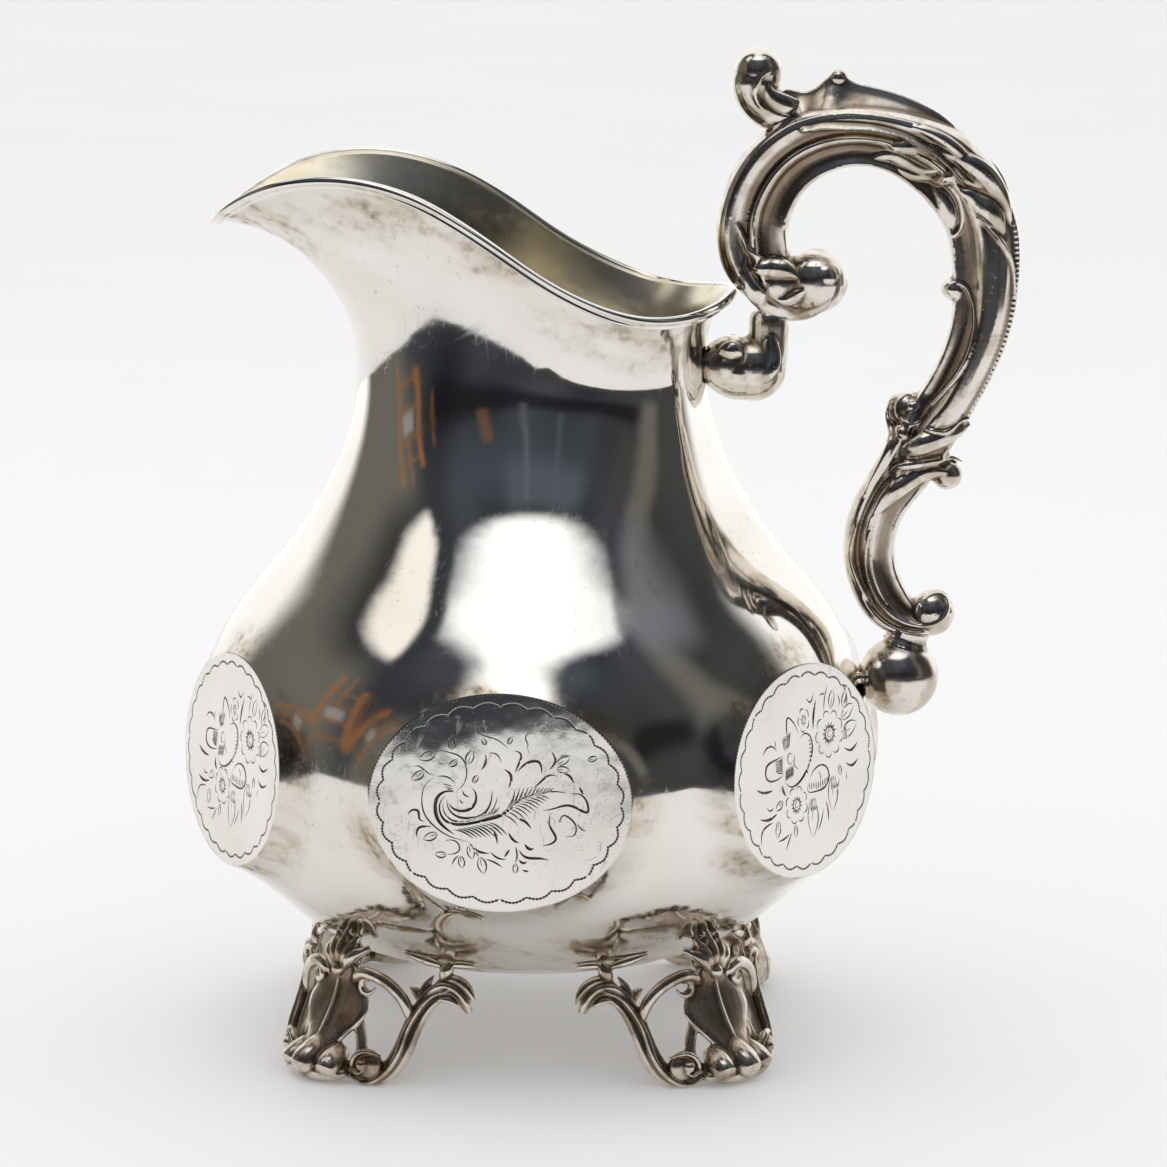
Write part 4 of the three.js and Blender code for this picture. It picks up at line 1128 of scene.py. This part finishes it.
NECK_SCROLL_PATH = [(38.4, 121.4, 3.3), (38.5, 118.4, 3.3), (38.4, 115.4, 3.3), (37.6, 112.2, 3.9),
                    (35.2, 110.6, 4.8), (31.8, 110.8, 4.6), (28.8, 111.4, 3.6), (27.8, 111.6, 3.4)]
NECK_STRANDS = [
    (1.7, .7, .1, [(38.9, 117.6), (39.0, 114.6), (38.9, 111.6), (37.2, 108.9)]),
    (1.7, 1.2, .2, [(30.6, 113.6), (32.6, 114.2), (34.6, 113.4)]),
]
neck_parts = [tube([(x, 0, z, r) for x, z, r in NECK_SCROLL_PATH]), globe((36.0, 0, 110.9), 5.4, (1, .92, 1)),
              globe((32.2, 0, 111.3), 4.9)]
neck_parts += laid_strands(neck_parts, NECK_STRANDS)
neck_cast = fused("neck_scroll_cast", neck_parts, cast_silver)
settle(neck_cast, "handle_silver", "neck_scroll")

BALL_CENTRE, BALL_RADIUS = (60.2, 0, 60.2), 6.5
ball_parts = [globe(BALL_CENTRE, BALL_RADIUS, rows=64, sides=96), globe((53.5, -3.2, 60.4), 1.1),
              tube([(52.6, 0, 60.0, 2.4), (54.2, 0, 60.0, 1.9), (56.0, 0, 60.1, 3.0)], steps=12),
              tube([(61.8, 0, 68.4, 3.9), (61.4, 0, 66.8, 3.4), (61.0, 0, 65.4, 4.3)], steps=12)]
ball = fused("ball_cast", ball_parts, cast_silver, rounds=6)
settle(ball, "handle_silver", "ball_half_front", "ball_half_back")

# ---- feet ----
# Each foot is made facing the front and then turned. Its points are aside, outwards, height; the
# stations of its bands and scrolls end with their half width and half thickness, or one radius.
FOOT_ANGLES = {"foot_front_left": -41.5, "foot_front_right": 48.5,
               "foot_back_right": 138.5, "foot_back_left": 228.5}
WING_PLANE = np.array([0.0, 1.0, 0.28])
WING_PLANE /= np.linalg.norm(WING_PLANE)
FOOT_VOXEL = 0.17  # mm
FLOOR_LIFT = 0.05  # the lowest height of a foot, so that it does not share the floor's plane
WING_BAND = [(3.6, 45.2, 1.9, 1.0, 1.4), (6.6, 44.2, 1.3, 1.2, 1.6), (9.6, 42.9, 1.35, 1.4, 1.7),
             (11.8, 41.4, 3.4, 1.7, 1.7), (12.7, 39.9, 6.6, 1.75, 1.6), (12.9, 38.2, 9.8, 1.7, 1.5),
             (13.7, 36.6, 12.6, 1.6, 1.4), (15.2, 35.0, 14.7, 1.6, 1.3), (17.2, 33.7, 15.1, 1.5, 1.3),
             (19.0, 32.9, 13.6, 1.2, 1.2), (19.9, 32.6, 11.9, .5, .8)]
# Leaves: half width, height, points.
WING_LEAVES = [
    (.75, .9, [(14.2, 35.4, 15.6), (16.2, 33.9, 17.0), (18.4, 32.9, 16.7), (20.2, 32.3, 14.9),
               (20.9, 32.2, 13.4)]),
    (.6, .8, [(15.4, 35.6, 13.6), (17.2, 34.4, 13.9), (18.6, 33.7, 12.9)]),
    (.7, .8, [(12.6, 37.0, 12.2), (13.0, 35.9, 15.2), (14.0, 34.7, 17.4)]),
    (.9, 1.0, [(10.6, 37.0, 15.2), (12.4, 36.2, 13.6), (13.4, 36.8, 12.0)]),
    (1.2, 1.1, [(15.0, 34.6, 16.6), (15.8, 33.8, 18.2), (16.4, 33.4, 20.0)]),
    (.7, .6, [(15.8, 33.6, 19.2), (17.8, 32.3, 19.3), (20.0, 30.9, 19.2)]),
    (.8, .8, [(16.0, 33.6, 18.8), (13.0, 35.2, 19.6), (9.6, 37.4, 20.8)]),
]
WING_RIMS = [
    [(5.4, 46.0, 3.6), (5.9, 45.9, 1.6), (8.6, 45.2, .5), (11.4, 43.7, 2.0), (13.0, 41.9, 5.2),
     (13.2, 40.2, 8.8),
     (14.0, 38.2, 12.2), (15.6, 36.4, 14.6), (17.4, 35.0, 15.4)],
    [(9.6, 46.0, 3.0), (8.6, 46.3, 2.3), (7.2, 46.2, 3.2), (7.6, 45.9, 4.9), (9.4, 45.2, 5.9),
     (11.4, 44.0, 5.2)],
]
VOLUTE = ((8.9, 44.2, 3.4), 2.5)  # middle and radius
VOLUTE_EYE = ((9.0, 46.1, 3.7), 0.9)
INNER_SCROLL = [(3.0, 42.2, 15.8, .9), (4.6, 42.0, 17.2, 1.0), (7.4, 41.2, 17.0, 1.05),
                (10.2, 40.0, 15.3, 1.05),
                (12.0, 39.0, 12.6, 1.0), (12.6, 38.6, 9.8, .8)]
INNER_CURL = [(7.4, 41.4, 15.2), (6.0, 41.8, 14.2), (4.8, 42.0, 15.0), (5.2, 42.0, 16.2), (6.4, 41.8, 16.2)]
SHIN = [(0, 41.9, 18.6, 1.2, 2.0), (0, 41.4, 16.4, 1.3, 3.4), (0, 41.9, 13.6, 1.3, 6.0),
        (0, 43.1, 10.9, 1.3, 6.9),
        (0, 44.8, 8.2, 1.2, 5.2), (0, 46.6, 5.9, 1.3, 3.6), (0, 48.0, 4.2, 1.3, 3.4)]
SHIN_LEGS = [(4.6, 43.0, 10.4, .9, 1.1), (6.4, 43.6, 7.0, .9, 1.0), (6.8, 44.6, 4.0, 1.0, 1.0),
             (5.4, 46.0, 2.0, 1.1, 1.1)]
SHIN_RIB = [(0, 42.6, 17.8), (0, 42.9, 14.4), (0, 44.4, 10.6), (0, 46.8, 7.4), (0, 48.8, 5.4)]
PALMETTE = [(0.0, 23.2, 1.15), (2.3, 22.6, 1.1), (4.4, 20.9, 1.0)]  # tip aside, tip height, half width
# The bud at the root of the palmette and the pad behind it: middle, radius, squash.
PALMETTE_BUD = ((0, -42.9, 17.3), 1.15)
PALMETTE_PAD = ((0, -40.6, 19.8), 1.0, (3.6, 1.0, 3.0))
# Toes: aside, outwards, height and radius along each.
TOES = [
    [(0, 44.6, 6.2, 1.4), (0, 47.4, 5.0, 2.1), (0, 50.2, 3.1, 2.3), (0, 51.6, 1.9, 1.9)],
    [(3.2, 44.6, 5.4, 1.4), (3.6, 46.6, 4.2, 2.0), (4.0, 48.8, 2.8, 2.2), (4.2, 50.2, 1.8, 1.8)],
    [(-3.2, 44.6, 5.4, 1.4), (-3.6, 46.6, 4.2, 2.0), (-4.0, 48.8, 2.8, 2.2), (-4.2, 50.2, 1.8, 1.8)],
]
SOLE = ((0, 47.6, 1.9), (6.8, 3.4, 1.9))  # middle and half sizes
KNUCKLES = [(1.9, 46.8, 5.3, 0.9), (-1.9, 46.8, 5.3, 0.9), (0, 46.0, 6.9, 1.1)]  # middle, then radius


def facing_front(points):
    """Points given as (aside, outwards, height) put in front of the jug."""
    points = np.array(points, float)
    return points[:, :3] * (1, -1, 1)


def foot_parts():
    """The skins that make up a foot."""
    parts = []
    gutter = 2 * np.pi * np.arange(28) / 28
    # A band's outline: rounded behind, hollowed in front between raised edges.
    deep = np.sin(gutter) * (.55 + .6 * np.cos(gutter) ** 2)
    hollow = np.stack([np.cos(gutter), np.where(np.sin(gutter) < 0, deep, np.sin(gutter))], -1)
    for side in (-1, 1):
        mirror = np.array([side, 1, 1])

        def place(points):
            return facing_front(np.array(points, float)[:, :3] * mirror)

        wing = np.column_stack([place(WING_BAND), np.array(WING_BAND)[:, 3:]])
        parts.append(sweep(wing, WING_PLANE, lambda t: hollow, 90))
        for wide, high, line in WING_LEAVES:
            parts.append(strand(place(line), wide, high, WING_PLANE, .15, 20))
        for line in WING_RIMS:
            parts.append(strand(place(smooth_line(line, .5)), .5, .75, WING_PLANE, .4, 50))
        for (centre, radius), squash in ((VOLUTE, (1, .75, 1)), (VOLUTE_EYE, (1, 1, 1))):
            parts.append(globe(place([centre])[0], radius, squash))
        inner = np.column_stack([place(INNER_SCROLL), np.array(INNER_SCROLL)[:, 3:]])
        parts.append(tube(np.column_stack([inner, inner[:, 3]]), WING_PLANE, 40, 14))
        parts.append(strand(place(smooth_line(INNER_CURL, .4)), .6, .7, WING_PLANE, .4, 30))
        legs = np.column_stack([place(SHIN_LEGS), np.array(SHIN_LEGS)[:, 3:]])
        parts.append(tube(legs, WING_PLANE, 26, 12))
    shin = np.column_stack([place(SHIN), np.array(SHIN)[:, 3:]])
    shield = circle_of(24)
    parts.append(sweep(shin, ASIDE, lambda t: shield, 50))
    parts.append(strand(facing_front(SHIN_RIB), .5, .7, ASIDE, .3, 30))
    for aside, height, wide in PALMETTE:
        for way in (-1, 1) if aside else (1,):
            tip = (aside * way, 39.9 + .3 * (height - 21), height)
            ribs = [(aside * way * .15, 42.3, 16.9), (aside * way * .55, 42.3, 19.4), tip]
            parts.append(strand(facing_front(ribs), wide, wide, WING_PLANE, .6, 20))
    parts += [globe(*PALMETTE_BUD), globe(*PALMETTE_PAD)]
    for toe in TOES:
        radii = np.array(toe)[:, 3]
        parts.append(tube(np.column_stack([facing_front(toe), radii, radii]), ASIDE, 24, 20))
    parts.append(globe(facing_front([SOLE[0]])[0], 1.0, SOLE[1]))
    for *centre, radius in KNUCKLES:
        parts.append(globe(facing_front([centre])[0], radius))
    return parts


foot_master = fused("foot_master", foot_parts(), foot_metal, voxel=FOOT_VOXEL, rounds=2)
for foot_name, degrees in FOOT_ANGLES.items():
    foot_mesh = foot_master.data.copy()
    co = read(foot_mesh.vertices, "co") - (AXIS_X * MM, 0, 0)
    co[:, 2] = np.maximum(co[:, 2], FLOOR_LIFT * MM)
    cos, sin = math.cos(math.radians(degrees)), math.sin(math.radians(degrees))
    turned = np.column_stack([co[:, 0] * cos - co[:, 1] * sin, co[:, 0] * sin + co[:, 1] * cos, co[:, 2]])
    foot_mesh.vertices.foreach_set("co", (turned + (AXIS_X * MM, 0, 0)).astype(np.float32).ravel())
    foot_mesh.update()
    foot = bpy.data.objects.new(foot_name + "_cast", foot_mesh)
    bpy.context.scene.collection.objects.link(foot)
    settle(foot, "foot_silver", foot_name)
bpy.data.objects.remove(foot_master)


# ---- stage ----
def paper():
    """Pale sweep paper with a faint sheen, dust and a few scuffs."""
    make = Shader("floor_paper")
    make.surface.inputs["Emission Color"].default_value = (1, 1, 1, 1)
    make.surface.inputs["Emission Strength"].default_value = 0.15
    make.surface.inputs["Specular IOR Level"].default_value = 0.08
    scuffs = make.scratches((8.0, 9.0), 50.0, 0.72)
    dust = make.fade(make.noise(330.0, 2.0), 0.74, 0.78)
    tone = make.tint(make.noise(6.0, 4.0), (0.72, 0.72, 0.735), (0.76, 0.76, 0.765))
    marks = make.math("MAXIMUM", make.times(scuffs, 0.02), make.times(dust, 0.05))
    color = make.tint(marks, tone, (0.45, 0.43, 0.41))
    return make.finish(color, make.plus(0.55, make.times(make.noise(20.0, 3.0), 0.12)), 0.0)


def card(name, centre, across, up, wide, tall, material):
    """A flat rectangle of the stage."""
    centre, across, up = Vector(centre), Vector(across).normalized(), Vector(up).normalized()
    corners = [centre + across * sx * wide / 2 + up * sy * tall / 2
               for sx, sy in ((-1, -1), (1, -1), (1, 1), (-1, 1))]
    mesh = bpy.data.meshes.new(name)
    mesh.from_pydata([tuple((c + Vector((AXIS_X, 0, 0))) * MM) for c in corners], [], [(0, 1, 2, 3)])
    mesh.materials.append(material)
    made = bpy.data.objects.new(name, mesh)
    bpy.context.scene.collection.objects.link(made)


card("floor", (0, 0, 0), (1, 0, 0), (0, 1, 0), 16000, 16000, paper())

RAIL_BROWN, RUNG_BROWN = (0.34, 0.150, 0.06), (0.26, 0.125, 0.055)
# What stands in the room, each laid over those before it: weight, the left and right ends in degrees from
# the front towards the handle, the low and high ends in degrees above level, the width of the edge, color.
ROOM_PATCHES = [
    (0.8, -34, 26, 30, 50, 14, (0.070, 0.085, 0.112)),  # dim bluish wall in front, and a paler part of it
    (0.7, -12, 34, 38, 56, 6, (0.105, 0.125, 0.155)),
    (0.9, -128, -66, -8, 40, 9, (0.165, 0.158, 0.138)),  # warm grey wall beside the spout
    (0.8, -110, -86, 6, 30, 8, (0.16, 0.155, 0.14)),
    (0.85, 46, 126, -8, 44, 12, (0.060, 0.062, 0.062)),  # dark wall beside the handle, with a pale post
    (0.8, 64, 78, 4, 50, 5, (0.17, 0.165, 0.145)),
    (0.8, -52, 60, 8, 20, 4, (0.010, 0.010, 0.013)),  # black band low in front
    (0.75, -75, -72.8, 1, 34, 1.3, RAIL_BROWN),  # wooden rails and rungs
    (0.75, -68, -66.8, 12, 36, 1.3, RAIL_BROWN),
    (0.75, -61, -58, 3, 31, 1.3, RAIL_BROWN),
    (0.75, -51, -50.2, 10, 26, 1.3, RAIL_BROWN),
    *((0.6, -76, -58, low, low + 1.4, 1.0, RUNG_BROWN) for low in (5, 11.5, 19, 26)),
    (0.7, -71, -63, 13, 18, 1.0, (0.35, 0.34, 0.33)),
    (0.6, -24, -18, 18, 30, 1.6, (0.20, 0.10, 0.06)),
    (0.5, -2, 1, 16, 52, 1.6, (0.15, 0.16, 0.18)),  # thin pale posts
    (0.5, 16, 18, 22, 56, 1.6, (0.12, 0.13, 0.15)),
    (0.7, 66, 98, 49, 70, 7, (0.26, 0.27, 0.30)),
    (0.97, -94, -62, 47, 68, 2.5, (1.10, 1.06, 1.00)),  # soft boxes over the jug
    (0.95, -52, 60, 60, 80, 3.0, (1.25, 1.27, 1.30)),
    (0.8, 50, 84, 62, 76, 5.0, (0.95, 0.98, 1.05)),
    (0.6, -26, 30, 62, 78, 4.0, (1.7, 1.7, 1.7)),
]
ROOM_RADIUS, ROOM_CENTRE, ROOM_LOW = 860.0, 60.0, -4.0  # mm, height of its middle in mm, degrees below level

def room_color(turn, rise):
    """What the silver reflects in each direction: a dim room in front of the jug, soft boxes over it,
    and a white sweep behind. `turn` is degrees from the front towards the handle, `rise` from level."""
    drift = np.sin(turn * 0.071 + 1.4) * np.sin(rise * 0.09 + 0.6) + 0.6 * np.sin(turn * 0.19 + rise * 0.06)
    color = np.array([0.040, 0.044, 0.053]) * (1 + 0.35 * drift[:, None])

    def blend(weight, other):
        nonlocal color
        color = color + (np.array(other) - color) * np.clip(weight, 0, 1)[:, None]

    def patch(left, right, low, high, soft):
        return (smoothstep(left - soft, left + soft, turn) * smoothstep(-right - soft, -right + soft, -turn)
                * smoothstep(low - soft, low + soft, rise) * smoothstep(-high - soft, -high + soft, -rise))

    for weight, *where, tone in ROOM_PATCHES:
        blend(weight * patch(*where), tone)
    blend(smoothstep(76, 82, rise), (1.0, 1.0, 1.0))
    blend(smoothstep(116, 132, np.where(turn > 0, turn + 6, -turn)), (1.12, 1.12, 1.12))
    return color


def only_in_reflections(thing):
    for ray in ("camera", "diffuse", "shadow", "transmission", "volume_scatter"):
        setattr(thing, "visible_" + ray, False)


def reflected_room():
    """A half-sphere round the jug that only its reflections see."""
    turn, rise = np.meshgrid(np.arange(-180, 181, 1.0), np.linspace(ROOM_LOW, 90, 188))
    a, e = np.radians(turn.ravel()), np.radians(rise.ravel())
    points = np.stack([ROOM_RADIUS * np.sin(a) * np.cos(e), -ROOM_RADIUS * np.cos(a) * np.cos(e),
                       ROOM_CENTRE + ROOM_RADIUS * np.sin(e)], -1)
    material, nodes, links = new_material("reflected_room")
    nodes.remove(nodes["Principled BSDF"])
    light, tint = nodes.new("ShaderNodeEmission"), nodes.new("ShaderNodeAttribute")
    tint.attribute_name = "tint"
    links.new(tint.outputs["Color"], light.inputs["Color"])
    links.new(light.outputs["Emission"], nodes["Material Output"].inputs["Surface"])
    room = make_piece("reflected_room", points, grid_faces(*turn.shape, False).tolist(), material)
    colors = np.column_stack([room_color(turn.ravel(), rise.ravel()), np.ones(turn.size)])
    tints = room.data.attributes.new("tint", "FLOAT_COLOR", "POINT").data
    tints.foreach_set("color", colors.astype(np.float32).ravel())
    only_in_reflections(room)


reflected_room()


def paper_end():
    """The dark floor past the paper's edge beside the handle, which only reflections see."""
    near, far, lift = 590.0, 870.0, 0.5
    degrees, share = np.meshgrid(np.arange(-2, 116, 1.0), np.linspace(0, 1, 4))
    start = far + (near - far) * smoothstep(-2, 4, degrees)
    turn, reach = np.radians(degrees), start + (far - start) * share
    points = np.stack([reach.ravel() * np.sin(turn.ravel()), -reach.ravel() * np.cos(turn.ravel()),
                       np.full(turn.size, lift)], -1)
    shade = new_material("dark_floor")[0]
    shade.node_tree.nodes["Principled BSDF"].inputs["Base Color"].default_value = (0.05, 0.044, 0.038, 1)
    shade.node_tree.nodes["Principled BSDF"].inputs["Roughness"].default_value = 0.9
    end = make_piece("paper_end", points, grid_faces(*turn.shape, False).tolist(), shade)
    only_in_reflections(end)


paper_end()

world = bpy.data.worlds.new("studio")
bpy.context.scene.world = world
world.use_nodes = True
world.node_tree.nodes["Background"].inputs["Color"].default_value = (1.0, 1.0, 1.0, 1)
world.node_tree.nodes["Background"].inputs["Strength"].default_value = 0.955
bpy.context.scene.view_settings.view_transform = "Standard"


def area_light(name, place, target, size, watts):
    data = bpy.data.lights.new(name, "AREA")
    data.size = size * MM
    data.energy = watts
    lamp = bpy.data.objects.new(name, data)
    lamp.location = (Vector(place) + Vector((AXIS_X, 0, 0))) * MM
    lamp.rotation_mode = "QUATERNION"
    lamp.rotation_quaternion = (Vector(place) - Vector(target)).to_track_quat("Z", "Y")
    bpy.context.scene.collection.objects.link(lamp)


area_light("overhead", (-150, 100, 1100), (0, 0, 60), 800, 1.4)

# ---- camera ----
CAMERA_TURN, CAMERA_RISE = math.radians(5.0), math.radians(11.0)
CAMERA_AWAY = 840.0
CAMERA_ASIDE, CAMERA_HEIGHT = 8.3, 74.6
LENS = 157.6

back = Vector((math.sin(CAMERA_TURN) * math.cos(CAMERA_RISE), -math.cos(CAMERA_TURN) * math.cos(CAMERA_RISE),
               math.sin(CAMERA_RISE)))
right = Vector((math.cos(CAMERA_TURN), math.sin(CAMERA_TURN), 0))
target = Vector((AXIS_X, 0, CAMERA_HEIGHT)) + right * CAMERA_ASIDE
camera_data = bpy.data.cameras.new("camera")
camera_data.lens = LENS
camera_data.sensor_width = 36.0
camera_data.clip_start, camera_data.clip_end = 0.01, 50.0
camera = bpy.data.objects.new("camera", camera_data)
camera.location = (target + back * CAMERA_AWAY) * MM
camera.rotation_mode = "QUATERNION"
camera.rotation_quaternion = back.to_track_quat("Z", "Y")
bpy.context.scene.collection.objects.link(camera)
bpy.context.scene.camera = camera
